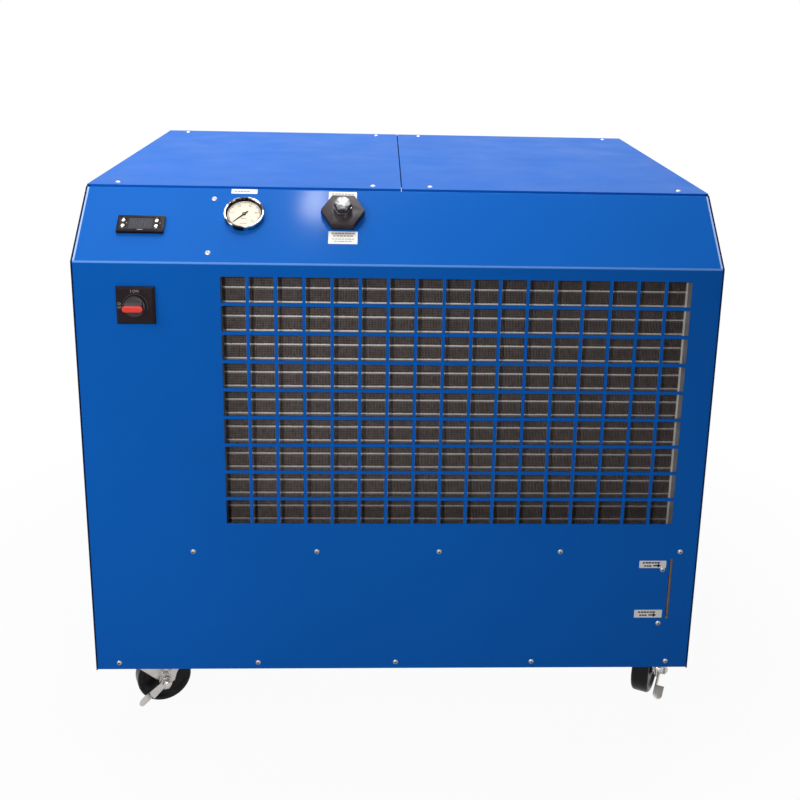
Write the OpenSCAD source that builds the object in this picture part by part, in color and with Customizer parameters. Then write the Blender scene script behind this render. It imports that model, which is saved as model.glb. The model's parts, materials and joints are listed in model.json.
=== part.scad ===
// Air-cooled liquid chiller in a sheet-steel cabinet on casters.
// Z is up, the control side faces -Y, and the origin is on the floor below the middle of the whole box.
// Inside the cabinet, depth is counted from the front face and height from the skirt's lower edge.

/* [Cabinet] */
// Width across the side panels
body_w = 1069; // [1040:1:1140]
// Depth from the front face to the rear face
body_d = 897; // [860:1:960]
// Height of the upright front face
front_h = 750; // [735:1:790]
// Depth of the sloping control face
slope_run = 127; // [120:1:134]
// Rise of the sloping control face
slope_rise = 104; // [98:1:112]
// Thickness of the panel sheet
sheet_t = 2; // [1.5:0.1:2.5]
// Outside radius of the bend between the upright face and the slope
bend_r = 5; // [4:0.5:8]
// Outside radius of the fold along the top of the slope
fold_r = 3; // [2.8:0.1:4]
// Depth of the folded lip at the top of the slope
fold_lip = 10; // [6:1:14]
// Depth of the folded side returns
return_d = 18; // [12:1:24]
// Open joint between neighbouring panels
panel_gap = 1; // [0.6:0.1:1.5]
// How far the side panels hang below the front panel
side_drop = 2; // [0:0.5:3]
// Joint between the two lids
lid_seam = 2; // [1:0.5:4]
// Depth of the folded lid edges
lid_lip = 14; // [8:1:18]
// Gap between the slope's top fold and the lids
lid_gap = 3; // [2:0.5:4]

/* [Front grille] */
// Width of a hole
hole_w = 40.65; // [36:0.05:44]
// Height of a hole
hole_h = 44.1; // [40:0.05:48]
// Width of a web between holes
web_w = 5.5; // [5:0.1:8]
// Least distance from the cabinet's left side to the first hole
grille_left = 230; // [224:1:244]
// Distance from the cabinet's right side to the last hole
grille_side = 51; // [48:0.1:56]
// Least distance from the bend down to the highest holes
grille_down = 18; // [16:1:30]
// Height of the lowest holes above the skirt
grille_up = 287; // [285:0.5:295]

/* [Rear panel] */
// Outlet holes across
outlet_cols = 10; // [8:1:11]
// Outlet holes from top to bottom
outlet_rows = 9; // [7:1:9]
// Width of a side vent slot
vent_w = 60; // [40:1:70]
// Height of a side vent slot
vent_h = 6; // [5:0.5:8]
// Vent slots in one column
vent_rows = 8; // [4:1:9]
// Columns of vent slots
vent_cols = 3; // [2:1:3]
// Spacing of the vent slots up the panel
vent_pitch = 16; // [14:1:17]

/* [Coil] */
// Spacing of the tubes
tube_pitch = 25; // [24:0.1:27]
// Spacing of the two upright rows
row_pitch = 22; // [20:0.5:24]
// Outside radius of the coil tubes
coil_tube_r = 4.8; // [4:0.1:5.5]
// Depth of the fin pack
fin_d = 44; // [42:1:48]
// Distance from the front face to the fins
coil_back = 50; // [46:1:54]
// Height of the coil's lower end above the shelf
coil_up = 18; // [8:0.5:20]

/* [Fan] */
// Distance from the blade tips to the coil's ends
fan_rim = 42; // [36:1:64]
// Depth of the plenum behind the coil
plenum_d = 90; // [80:1:100]
// Distance from the plenum to the fan motor
motor_back = 113; // [104:1:124]
// Running gap between the tips and the ring
fan_gap = 8; // [5:1:10]
// Number of blades
blades = 5; // [3:1:7]
// Radius of the fan motor
fan_motor_r = 70; // [60:1:75]
// Length of the fan motor
fan_motor_l = 130; // [110:1:140]

/* [Disconnect switch] */
// Side of the square switch plate
switch_w = 63; // [60:1:70]
// Thickness of the switch plate
switch_t = 8; // [6:0.5:10]
// Distance from the cabinet's left side to the switch
switch_side = 102; // [98:0.1:106]
// Distance from the bend down to the switch
switch_down = 71.4; // [66:0.1:86]
// Radius of the turning knob
knob_r = 17; // [14:0.5:18]
// Height of the knob's round foot
knob_foot = 6; // [4:0.5:8]
// Height of the knob's black handle
knob_h = 12; // [9:0.5:14]
// Height of the red grip on the handle
grip_h = 5; // [4:0.5:7]
// Length of the red grip
grip_l = 33; // [28:0.5:34]
// Width of the red grip
grip_w = 10; // [8:0.5:12]

/* [Controller] */
// Width of the controller bezel
ctrl_w = 77; // [74:0.5:80]
// Height of the controller bezel
ctrl_h = 34; // [32:0.5:36]
// How far the bezel stands proud
ctrl_t = 6; // [5:0.5:8]
// Depth of the controller behind the panel
ctrl_d = 55; // [45:1:60]
// Distance from the cabinet's left side to the controller
ctrl_side = 103.4; // [96:0.1:105]
// Distance up the slope to the controller
ctrl_s = 76; // [70:0.5:80]
// Radius of a button
button_r = 3.1; // [2.6:0.1:3.4]
// How far a button stands proud
button_proud = 1.2; // [1:0.1:2]
// Travel of a button
button_travel = 0.8; // [0.5:0.1:0.9]

/* [Pressure gauge] */
// Outside radius of the gauge bezel
gauge_r = 33.5; // [32:0.5:35]
// How far the bezel stands proud
gauge_t = 10; // [9:0.5:12]
// Radius of the case behind the panel
gauge_case_r = 29; // [26:0.5:30]
// Depth of the case behind the panel
gauge_d = 24; // [20:1:26]
// Distance from the cabinet's left side to the gauge
gauge_side = 270.8; // [265:0.1:273]
// Distance up the slope to the gauge
gauge_s = 100.5; // [95:0.1:104]
// Length of the needle
needle_l = 23; // [19:0.5:24]

/* [Filler] */
// Width across the flats of the filler nut
filler_af = 64; // [54:0.5:66]
// Thickness of the filler nut
filler_t = 14; // [11:0.5:16]
// Outside radius of the filler body
filler_r = 19; // [18:0.5:21]
// Length of the filler body behind the panel
filler_d = 34; // [30:1:36]
// Distance from the cabinet's left side to the filler
filler_side = 435.5; // [429:0.1:438]
// Distance up the slope to the filler
filler_s = 105; // [100:0.5:106]
// Radius of the bushing in the filler
bushing_r = 12.4; // [11.5:0.1:13]
// Width across the flats of the bushing and the plug
plug_af = 26; // [22:0.5:27]
// Thickness of the bushing's hexagon
bushing_t = 6; // [5:0.5:8]
// Height of the plug's hexagon
plug_h = 11; // [9:0.5:13]
// Radius of the plug's shank
plug_r = 7.95; // [7:0.05:8.5]
// Length of the plug's shank
plug_l = 18; // [14:0.5:19]
// Thickness of the sealing ring
seal_t = 1.5; // [1:0.1:2]

/* [Level sight] */
// Width of the slot
slot_w = 6; // [5:0.5:8]
// Distance from the cabinet's right side to the slot
slot_side = 46; // [43:0.1:47]
// Height of the slot's lower end
slot_up = 98.4; // [95:0.1:102]
// Length of the slot
slot_l = 120.7; // [110:0.1:122]
// Outside radius of the sight tube
sight_r = 6; // [5:0.5:6.5]

/* [Tank] */
// Width of the tank
tank_w = 255; // [220:1:256]
// Distance from the front face to the tank
tank_in = 40; // [36:1:60]
// Distance from the shelf's rear edge to the tank
tank_back = 10; // [8:1:40]
// Wall of the tank
tank_t = 4; // [3:0.5:6]

/* [Pump] */
// Radius of the pump casing
pump_r = 74; // [68:1:76]
// Length of the pump casing
pump_l = 60; // [58:1:64]
// Radius of the pump motor
pump_motor_r = 62; // [55:1:65]
// Length of the pump motor
pump_motor_l = 190; // [160:1:200]
// Radius of the impeller
impeller_r = 55; // [48:1:56]

/* [Refrigeration] */
// Radius of the compressor shell
comp_r = 112; // [100:1:114]
// Height of the compressor shell
comp_h = 360; // [320:1:380]
// Radius of the liquid receiver
receiver_r = 55; // [45:1:56]
// Height of the liquid receiver
receiver_h = 310; // [300:1:320]
// Width of the evaporator
evap_w = 120; // [112:1:122]
// Depth of the evaporator
evap_d = 70; // [60:1:72]
// Height of the evaporator
evap_h = 320; // [310:1:340]

/* [Connections] */
// Wall radius of the water ports
port_r = 15.15; // [14:0.05:17]
// Length of the wall in a water port
port_l = 22; // [18:0.5:24]
// How far a water port stands proud
port_proud = 28; // [26:0.5:32]
// Wall radius of the drain outlet
drain_r = 7.5; // [7:0.1:9]
// Length of the wall in the drain outlet
drain_l = 14; // [12:0.5:16]
// How far the drain valve stands proud
drain_proud = 52; // [48:0.5:56]
// Wall radius of the cable gland
gland_r = 8; // [7:0.1:9]
// How far the cable gland stands proud
gland_proud = 26; // [22:0.5:30]

/* [Casters] */
// Height of a caster from the floor to the top of its plate
caster_h = 130; // [126:0.5:134]
// Radius of a wheel
wheel_r = 50; // [46:0.5:51]
// Width of a wheel
wheel_w = 33; // [30:0.5:36]
// Radius of the axle bolts
axle_r = 5; // [4.5:0.1:5.5]
// Trail from the swivel to the axle
trail = 38; // [30:0.5:40]
// Distance from the cabinet's side to a caster's middle
caster_side = 59.5; // [56:0.5:70]
// Distance from the front face to the front casters
caster_in = 94; // [90:0.5:105]
// Turn of the left front caster
left_yaw = 22; // [-30:1:90]
// Turn of the right front caster
right_yaw = 63; // [-30:1:90]
// Reach of a brake lever to its foot pad
lever_l = 35; // [30:0.5:40]
// Length of the lever's foot pad
pad_l = 26; // [16:0.5:28]
// Width of the lever's foot pad
pad_w = 18; // [12:0.5:20]
// Fall of a brake lever below level
lever_fall = 39; // [30:1:50]

/* [Hidden] */
$fn = 48;

// Clearances that every fit shares
eps = 1;
seat = 0.3;
run_fit = 0.06;
slip = 0.3;

// The cabinet's main planes
deck_z = caster_h;
top_z = front_h + slope_rise;
slope_a = atan2(slope_rise, slope_run);
slope_l = norm([slope_run, slope_rise]);
inner_x = body_w/2 - sheet_t;
panel_x = inner_x - panel_gap;
front_reach = switch_t + knob_foot + knob_h + grip_h;
rear_reach = drain_proud;
front_y = (front_reach - body_d - rear_reach)/2;

// Colours of the finishes
blue = "royalblue";
steel = "lightgray";
zinc = "gainsboro";
black = "dimgray";
brass = "goldenrod";
copper = "peru";
rubber = "darkslategray";

// Frames that ride on the cabinet's faces: local Z points out of the face
module at_deck() { translate([0, front_y, deck_z]) children(); }
module on_front(x, z) { at_deck() translate([x, 0, z]) rotate([90, 0, 0]) children(); }
module on_rear(x, z) { at_deck() translate([x, body_d, z]) rotate([90, 0, 180]) children(); }
module on_slope(x, s) {
  at_deck()
    translate([x, s*cos(slope_a), front_h + s*sin(slope_a)])
      rotate([slope_a, 0, 0]) children();
}
module on_lid(x, y) { at_deck() translate([x, y, top_z]) children(); }
module on_side(side, y, z) {
  at_deck() translate([side*body_w/2, y, z]) rotate([0, side*90, 0]) children();
}

// Shared shapes
module box(low, high) { translate(low) cube(high - low); }
module along_x(x0, x1) { translate([x0, 0, 0]) rotate([90, 0, 90]) linear_extrude(x1 - x0) children(); }
module hexagon(af, h) { cylinder(r = af/2/cos(30), h = h, $fn = 6); }
module tube(r_out, r_in, h) {
  difference() {
    cylinder(r = r_out, h = h);
    translate([0, 0, -eps]) cylinder(r = r_in, h = h + 2*eps);
  }
}
function arc(c, r, a0, a1, n) = [for (i = [0:n]) c + r*[cos(a0 + (a1 - a0)*i/n), sin(a0 + (a1 - a0)*i/n)]];
function unit(v) = v/norm(v);
function side_of(a) = unit(cross(a, abs(a[2]) > norm([a[0], a[1]]) ? [1, 0, 0] : [0, 0, 1]));
function frame(ex, ey, ez, p) = [
  [ex[0], ey[0], ez[0], p[0]],
  [ex[1], ey[1], ez[1], p[1]],
  [ex[2], ey[2], ez[2], p[2]],
  [0, 0, 0, 1]];

// A round line through points, with elbow fittings of one bend radius at its corners
elbow_wall = 1;
elbow_in = 3;
module line_run(pts, r, bend) {
  last = len(pts) - 1;
  ways = [for (i = [0:last - 1]) unit(pts[i + 1] - pts[i])];
  turns = [for (i = [1:last - 1]) acos(ways[i - 1]*ways[i])];
  cuts = concat([0], [for (t = turns) bend*tan(t/2) - elbow_in], [0]);
  for (i = [0:last - 1]) {
    from = pts[i] + cuts[i]*ways[i];
    u = side_of(ways[i]);
    multmatrix(frame(u, cross(ways[i], u), ways[i], from))
      cylinder(r = r, h = norm(pts[i + 1] - pts[i]) - cuts[i] - cuts[i + 1]);
  }
  for (i = [1:last - 1]) {
    a = ways[i - 1];
    m = unit(ways[i] - (a*ways[i])*a);
    multmatrix(frame(-m, a, cross(-m, a), pts[i] - (cuts[i] + elbow_in)*a + bend*m))
      rotate_extrude(angle = turns[i - 1]) translate([bend, 0]) circle(r = r + elbow_wall);
  }
}

// Base pan
pan_t = 3;
pan_lip = 40;
pan_x = panel_x - sheet_t - seat;
pan_y0 = sheet_t + seat;
pan_y1 = body_d - sheet_t - seat;
module base_pan() {
  color(steel) at_deck() difference() {
    box([-pan_x, pan_y0, 0], [pan_x, pan_y1, pan_lip]);
    box([-pan_x + pan_t, pan_y0 + pan_t, pan_t], [pan_x - pan_t, pan_y1 - pan_t, pan_lip + eps]);
    for (p = skirt_screws) translate([p[0], pan_y0 + pan_t + eps, p[1]]) rotate([90, 0, 0])
      cylinder(r = screw_hole_r, h = pan_t + 2*eps);
  }
}

// Screw rows: places are counted from the middle and from the skirt
screw_r = 2;
screw_hole_r = 2.3;
skirt_screw_z = 12.5;
skirt_screw_side = 41.1;
skirt_screw_gap = (body_w/2 - skirt_screw_side)/2;
shelf_screw_z = 233;
shelf_screw_side = 31.6;
shelf_screw_left = 179.4;
shelf_screw_gap = (body_w - shelf_screw_side - shelf_screw_left)/4;
sight_screw_side = 60.5;
sight_screw_under = 8;
sight_screw_down = 21.1;
sight_screw_zs = [slot_up - sight_screw_under, slot_up + slot_l - sight_screw_down];
slope_screw_side = 217.7;
slope_screw_off = body_w/2 - slope_screw_side;
slope_screw_in = 21.3;
slope_screw_top = 27.7;
lid_screw_x = 49.7;
lid_screw_side = 46;
lid_screw_in = 29;
post_screw_in = 70;
post_screws = 4;
skirt_screws = [for (i = [-2:2]) [i*skirt_screw_gap, skirt_screw_z]];
shelf_screws = [for (i = [0:4]) [body_w/2 - shelf_screw_side - i*shelf_screw_gap, shelf_screw_z]];
sight_screws = [for (z = sight_screw_zs) [body_w/2 - sight_screw_side, z]];
front_screws = concat(skirt_screws, shelf_screws, sight_screws);
slope_screws = [for (s = [slope_screw_in, slope_l - slope_screw_top]) [-slope_screw_off, s]];
lid_screws = [for (x = [lid_screw_x, body_w/2 - lid_screw_side], side = [-1, 1],
  y = [slope_run + lid_screw_in, body_d - lid_screw_in]) [side*x, y]];

// Front panel
arc_steps = 6;
bend_c = [bend_r, front_h - bend_r*tan((90 - slope_a)/2)];
fold_c = [slope_run - fold_r,
  front_h + ((slope_run - fold_r)*sin(slope_a) - fold_r)/cos(slope_a)];
front_outline = concat([[0, 0]],
  arc(bend_c, bend_r, 180, 90 + slope_a, arc_steps),
  arc(fold_c, fold_r, 90 + slope_a, 0, arc_steps),
  [[slope_run, fold_c[1] - fold_lip], [slope_run - sheet_t, fold_c[1] - fold_lip]],
  arc(fold_c, fold_r - sheet_t, 0, 90 + slope_a, arc_steps),
  arc(bend_c, bend_r - sheet_t, 90 + slope_a, 180, arc_steps),
  [[sheet_t, 0]]);
return_end = slope_l - 3*fold_r;
slope_dir = [cos(slope_a), sin(slope_a)];
slope_out = [-sin(slope_a), cos(slope_a)];
return_outline = concat([[0, 0]],
  arc(bend_c, bend_r, 180, 90 + slope_a, arc_steps),
  [[0, front_h] + return_end*slope_dir,
   [0, front_h] + return_end*slope_dir - return_d*slope_out,
   [return_d, front_h - return_d*tan((90 - slope_a)/2)],
   [return_d, 0]]);
grille_cols = floor((body_w - grille_left - grille_side + web_w)/(hole_w + web_w));
grille_rows = floor((front_h - grille_up - grille_down + web_w)/(hole_h + web_w));
grille_x1 = body_w/2 - grille_side;
grille_x0 = grille_x1 - grille_cols*hole_w - (grille_cols - 1)*web_w;
switch_x = -body_w/2 + switch_side;
switch_up = front_h - switch_down;
gauge_off = body_w/2 - gauge_side;
filler_off = body_w/2 - filler_side;
switch_hole_r = 11.5;
ctrl_x = -body_w/2 + ctrl_side;
ctrl_rim = 1.5;
slot_x = body_w/2 - slot_side;
module grille_holes(cols, rows, y0, y1) {
  for (i = [0:cols - 1], j = [0:rows - 1])
    translate([i*(hole_w + web_w), 0, j*(hole_h + web_w)])
      box([0, y0, 0], [hole_w, y1, hole_h]);
}
module panel_hole(r) { translate([0, 0, -sheet_t - eps]) cylinder(r = r, h = sheet_t + 2*eps); }
module front_panel() {
  color(blue) difference() {
    at_deck() union() {
      along_x(-panel_x, panel_x) polygon(front_outline);
      along_x(-panel_x, -panel_x + sheet_t) polygon(return_outline);
      along_x(panel_x - sheet_t, panel_x) polygon(return_outline);
    }
    at_deck() translate([grille_x0, 0, grille_up])
      grille_holes(grille_cols, grille_rows, -eps, sheet_t + eps);
    at_deck() box([slot_x - slot_w/2, -eps, slot_up], [slot_x + slot_w/2, sheet_t + eps, slot_up + slot_l]);
    on_front(switch_x, switch_up) panel_hole(switch_hole_r);
    for (p = front_screws) on_front(p[0], p[1]) panel_hole(screw_hole_r);
    for (p = slope_screws) on_slope(p[0], p[1]) panel_hole(screw_hole_r);
    on_slope(ctrl_x, ctrl_s) box(
      [-ctrl_w/2 + ctrl_rim, -ctrl_h/2 + ctrl_rim, -sheet_t - eps],
      [ctrl_w/2 - ctrl_rim, ctrl_h/2 - ctrl_rim, eps]);
    on_slope(-gauge_off, gauge_s) panel_hole(gauge_case_r + slip);
    on_slope(-filler_off, filler_s) panel_hole(filler_r + slip);
  }
}

// Side panels, with vent slots low beside the compressor
side_top = top_z - sheet_t - seat;
side_cut = slope_run - (top_z - side_top)*slope_run/slope_rise;
vent_back = 300;
vent_y = body_d - vent_back;
vent_z = 60;
vent_gap = 12;
post_w = 28;
post_t = 2.5;
post_side = panel_x - return_d/3;
front_post_y = slope_run + lid_gap + sheet_t + seat;
rear_post_y = pan_y1 - pan_t - seat;
post_screw_ys = [front_post_y + post_w/2, rear_post_y - post_w/2];
post_screw_zs = [for (i = [0:post_screws - 1])
  post_screw_in + i*(front_h - 2*post_screw_in)/(post_screws - 1)];
side_outline = [[0, -side_drop], [0, front_h], [side_cut, side_top], [body_d, side_top],
  [body_d, -side_drop]];
module side_panel(side) {
  color(blue) difference() {
    at_deck() along_x(side > 0 ? inner_x : -body_w/2, side > 0 ? body_w/2 : -inner_x)
      polygon(side_outline);
    at_deck() for (i = [0:vent_cols - 1], j = [0:vent_rows - 1])
      box([side*body_w/2 - sheet_t - eps, vent_y + i*(vent_w + vent_gap), vent_z + j*vent_pitch],
        [side*body_w/2 + sheet_t + eps, vent_y + i*(vent_w + vent_gap) + vent_w,
          vent_z + j*vent_pitch + vent_h]);
    for (y = post_screw_ys, z = post_screw_zs) on_side(side, y, z) panel_hole(screw_hole_r);
  }
}

// Rear panel, with the fan's outlet and the fittings' holes
shelf_rise = 6;
shelf_z = shelf_screw_z + shelf_rise;
fan_x = (grille_x0 + grille_x1)/2;
coil_z0 = shelf_z + coil_up;
coil_head = 10;
coil_rows = 2*floor((front_h + coil_head - coil_z0)/tube_pitch/2);
coil_z1 = coil_z0 + coil_rows*tube_pitch;
fan_z = (coil_z0 + coil_z1)/2;
outlet_w = outlet_cols*hole_w + (outlet_cols - 1)*web_w;
outlet_h = outlet_rows*hole_h + (outlet_rows - 1)*web_w;
port_z = 120;
supply_share = 0.31;
return_share = 0.405;
drain_share = 0.3575;
supply_x = supply_share*body_w;
return_x = return_share*body_w;
drain_x = drain_share*body_w;
drain_z = 52;
gland_side = 103.5;
gland_x = -body_w/2 + gland_side;
gland_z = 150;
port_wall = 5.85;
port_shank_r = port_r + port_wall;
gland_wall = 3.5;
gland_shank_r = gland_r + gland_wall;
drain_pipe_r = 9;
rear_screws = [for (side = [-1, 1], z = post_screw_zs) [side*(panel_x - return_d/3 - post_w/2), z]];
module rear_panel() {
  color(blue) difference() {
    at_deck() union() {
      box([-panel_x, body_d - sheet_t, 0], [panel_x, body_d, side_top]);
      box([-panel_x, body_d - return_d/2, pan_lip + seat], [-panel_x + sheet_t, body_d, side_top]);
      box([panel_x - sheet_t, body_d - return_d/2, pan_lip + seat], [panel_x, body_d, side_top]);
    }
    at_deck() translate([fan_x - outlet_w/2, 0, fan_z - outlet_h/2])
      grille_holes(outlet_cols, outlet_rows, body_d - sheet_t - eps, body_d + eps);
    for (x = [supply_x, return_x]) on_rear(x, port_z) panel_hole(port_shank_r + slip);
    on_rear(drain_x, drain_z) panel_hole(drain_pipe_r + slip);
    on_rear(gland_x, gland_z) panel_hole(gland_shank_r + slip);
    for (p = rear_screws) on_rear(p[0], p[1]) panel_hole(screw_hole_r);
  }
}

// Lids, each a tray turned down at the front, the rear and the seam
lid_y0 = slope_run + lid_gap;
module lid(side) {
  x0 = side > 0 ? lid_seam/2 : -body_w/2;
  x1 = side > 0 ? body_w/2 : -lid_seam/2;
  lip_x0 = side > 0 ? lid_seam/2 : -pan_x;
  lip_x1 = side > 0 ? pan_x : -lid_seam/2;
  seam_x = side > 0 ? lip_x0 : lip_x1 - sheet_t;
  color(blue) difference() {
    at_deck() union() {
      box([x0, lid_y0, top_z - sheet_t], [x1, body_d, top_z]);
      box([lip_x0, lid_y0, top_z - lid_lip], [lip_x1, lid_y0 + sheet_t, top_z]);
      box([lip_x0, body_d - 2*sheet_t - seat, top_z - lid_lip], [lip_x1, body_d - sheet_t - seat, top_z]);
      box([seam_x, lid_y0, top_z - lid_lip], [seam_x + sheet_t, body_d - sheet_t - seat, top_z]);
    }
    for (p = lid_screws) if (p[0]*side > 0) on_lid(p[0], p[1]) panel_hole(screw_hole_r);
  }
}

// Inner frame: four posts joined by a ring of angles under the lids
frame_z = top_z - sheet_t - seat;
beam_w = 44;
module post(side, y, way) {
  x = side*post_side;
  box([min(x, x - side*post_w), min(y, y + way*post_t), pan_t + seat],
    [max(x, x - side*post_w), max(y, y + way*post_t), frame_z]);
  box([min(x, x - side*post_t), min(y, y + way*post_w), pan_t + seat],
    [max(x, x - side*post_t), max(y, y + way*post_w), frame_z]);
}
module inner_frame() {
  color(steel) difference() {
    at_deck() union() {
      for (side = [-1, 1]) {
        post(side, front_post_y, 1);
        post(side, rear_post_y, -1);
        box([side > 0 ? post_side - post_t : -post_side, front_post_y, frame_z - post_w],
          [side > 0 ? post_side : -post_side + post_t, rear_post_y, frame_z]);
        for (y = [front_post_y, rear_post_y - beam_w])
          box([side > 0 ? lid_seam/2 + sheet_t + seat : -post_side, y, frame_z - post_t],
            [side > 0 ? post_side : -lid_seam/2 - sheet_t - seat, y + beam_w, frame_z]);
      }
      for (y = [front_post_y, rear_post_y - beam_w])
        box([-post_side, y, frame_z - lid_lip - post_t], [post_side, y + beam_w, frame_z - lid_lip]);
      for (side = [-1, 1], y = [front_post_y, rear_post_y - beam_w])
        box([side > 0 ? lid_seam/2 + sheet_t + seat : -lid_seam/2 - sheet_t - seat - post_t, y,
            frame_z - lid_lip - post_t],
          [side > 0 ? lid_seam/2 + sheet_t + seat + post_t : -lid_seam/2 - sheet_t - seat,
            y + beam_w, frame_z]);
    }
    for (p = lid_screws) on_lid(p[0], p[1])
      translate([0, 0, -lid_lip]) cylinder(r = screw_hole_r, h = lid_lip);
    for (side = [-1, 1], y = post_screw_ys, z = post_screw_zs) on_side(side, y, z)
      translate([0, 0, -post_w]) cylinder(r = screw_hole_r, h = post_w);
    for (p = rear_screws) on_rear(p[0], p[1])
      translate([0, 0, -post_w/2]) cylinder(r = screw_hole_r, h = post_w/2);
  }
}

// Shelf under the coil, with holes for the lines that pass it
shelf_t = 2;
shelf_lip = 20;
shelf_side = 158;
shelf_x0 = -body_w/2 + shelf_side;
shelf_x1 = panel_x - return_d/3;
shelf_share = 0.451;
shelf_y1 = shelf_share*body_d;
gauge_line_r = 3;
gauge_line_y = 205;
module mid_shelf() {
  color(steel) difference() {
    at_deck() union() {
      box([shelf_x0, sheet_t + seat, shelf_z], [shelf_x1, shelf_y1, shelf_z + shelf_t]);
      box([shelf_x0, sheet_t + seat, shelf_z + shelf_t - shelf_lip],
        [slot_x - slot_w - sight_r, sheet_t + seat + shelf_t, shelf_z + shelf_t]);
      box([shelf_x0, shelf_y1 - shelf_t, shelf_z + shelf_t - shelf_lip],
        [shelf_x1, shelf_y1, shelf_z + shelf_t]);
    }
    at_deck() box([post_side - post_w - slip, front_post_y - slip, 0],
      [inner_x, front_post_y + post_w + slip, top_z]);
    at_deck() translate([-gauge_off, gauge_line_y, 0]) cylinder(r = 2*gauge_line_r, h = front_h);
    for (p = shelf_screws) on_front(p[0], p[1]) translate([0, 0, -return_d])
      cylinder(r = screw_hole_r, h = return_d);
  }
}

// Screws
button_head_r = 4.6;
button_head_h = 2.6;
cross_head_r = 4.5;
cross_head_h = 2.2;
socket_af = 2.6;
cross_w = 1.2;
cross_l = 5;
recess_share = 0.6;
shank_l = 12;
dome_steps = 5;
function dome(r, h) = let (big = (r*r + h*h)/2/h)
  concat([[0, 0]], [for (i = [0:dome_steps]) let (x = r*(1 - i/dome_steps))
    [x, h - big + sqrt(big*big - x*x)]]);
module screw_blank(r, h) {
  rotate_extrude() polygon(dome(r, h));
  translate([0, 0, -shank_l]) cylinder(r = screw_r, h = shank_l + h/4);
}
module button_head_screw() {
  difference() {
    screw_blank(button_head_r, button_head_h);
    translate([0, 0, button_head_h*(1 - recess_share)]) hexagon(socket_af, button_head_h);
  }
}
module cross_head_screw() {
  difference() {
    screw_blank(cross_head_r, cross_head_h);
    for (size = [[cross_l, cross_w], [cross_w, cross_l]])
      translate([-size[0]/2, -size[1]/2, cross_head_h*(1 - recess_share)])
        cube([size[0], size[1], cross_head_h]);
  }
}
module button_head_screws() {
  color(zinc) for (p = front_screws) on_front(p[0], p[1]) button_head_screw();
}
module cross_head_screws() {
  color(zinc) {
    for (p = slope_screws) on_slope(p[0], p[1]) cross_head_screw();
    for (p = lid_screws) on_lid(p[0], p[1]) cross_head_screw();
    for (p = rear_screws) on_rear(p[0], p[1]) cross_head_screw();
    for (side = [-1, 1], y = post_screw_ys, z = post_screw_zs) on_side(side, y, z) cross_head_screw();
  }
}

// Condenser coil: fin pack, two looped tubes and the end plates
plate_t = 2;
plate_flange = 12;
coil_over_left = 6;
coil_over_right = 5.5;
coil_x0 = grille_x0 - coil_over_left;
coil_x1 = grille_x1 + coil_over_right;
coil_y1 = coil_back + fin_d;
tube_hole_r = coil_tube_r + run_fit;
tube_stub = 4;
first_row_y = coil_back + (fin_d - row_pitch)/2;
coil_ys = [first_row_y, first_row_y + row_pitch];
function tube_z(k) = coil_z0 + (k + 0.5)*tube_pitch;
module coil_bores(r) {
  for (y = coil_ys, k = [0:coil_rows - 1])
    translate([coil_x0 - eps, y, tube_z(k)]) rotate([0, 90, 0])
      cylinder(r = r, h = coil_x1 - coil_x0 + 2*eps);
}
module condenser_fins() {
  color("silver") at_deck() difference() {
    box([coil_x0 + plate_t, coil_back, coil_z0], [coil_x1 - plate_t, coil_y1, coil_z1]);
    coil_bores(tube_hole_r);
  }
}
module condenser_end_plates() {
  rim = plate_t + seat;
  color(zinc) at_deck() for (side = [-1, 1]) {
    x = side > 0 ? coil_x1 - plate_t : coil_x0;
    flange_x = side > 0 ? coil_x1 - plate_t : coil_x0 + plate_t - plate_flange;
    difference() {
      union() {
        box([x, coil_back - rim, shelf_z + shelf_t + seat], [x + plate_t, coil_y1 + rim, coil_z1 + rim]);
        for (y = [coil_back - rim, coil_y1 + seat])
          box([flange_x, y, shelf_z + shelf_t + seat], [flange_x + plate_flange, y + plate_t, coil_z1 + rim]);
      }
      coil_bores(tube_hole_r);
      for (k = [0, coil_rows - 1])
        box([header_x - gas_r - slip, coil_y1, tube_z(k) - gas_r - slip],
          [header_x + gas_r + slip, coil_y1 + rim + plate_t, tube_z(k) + gas_r + slip]);
    }
  }
}
module coil_loop(y) {
  for (k = [0:coil_rows - 1])
    translate([coil_x0 - tube_stub, y, tube_z(k)]) rotate([0, 90, 0])
      cylinder(r = coil_tube_r, h = coil_x1 - coil_x0 + 2*tube_stub);
  for (k = [0:coil_rows - 2]) {
    side = k % 2 == 0 ? 1 : -1;
    x = side > 0 ? coil_x1 + tube_stub : coil_x0 - tube_stub;
    translate([x, y, tube_z(k) + tube_pitch/2]) rotate([90, 0, 0]) rotate([0, 0, -side*90])
      rotate_extrude(angle = 180) translate([tube_pitch/2, 0]) circle(r = coil_tube_r);
  }
}
module condenser_tubes() { color(copper) at_deck() for (y = coil_ys) coil_loop(y); }

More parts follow.
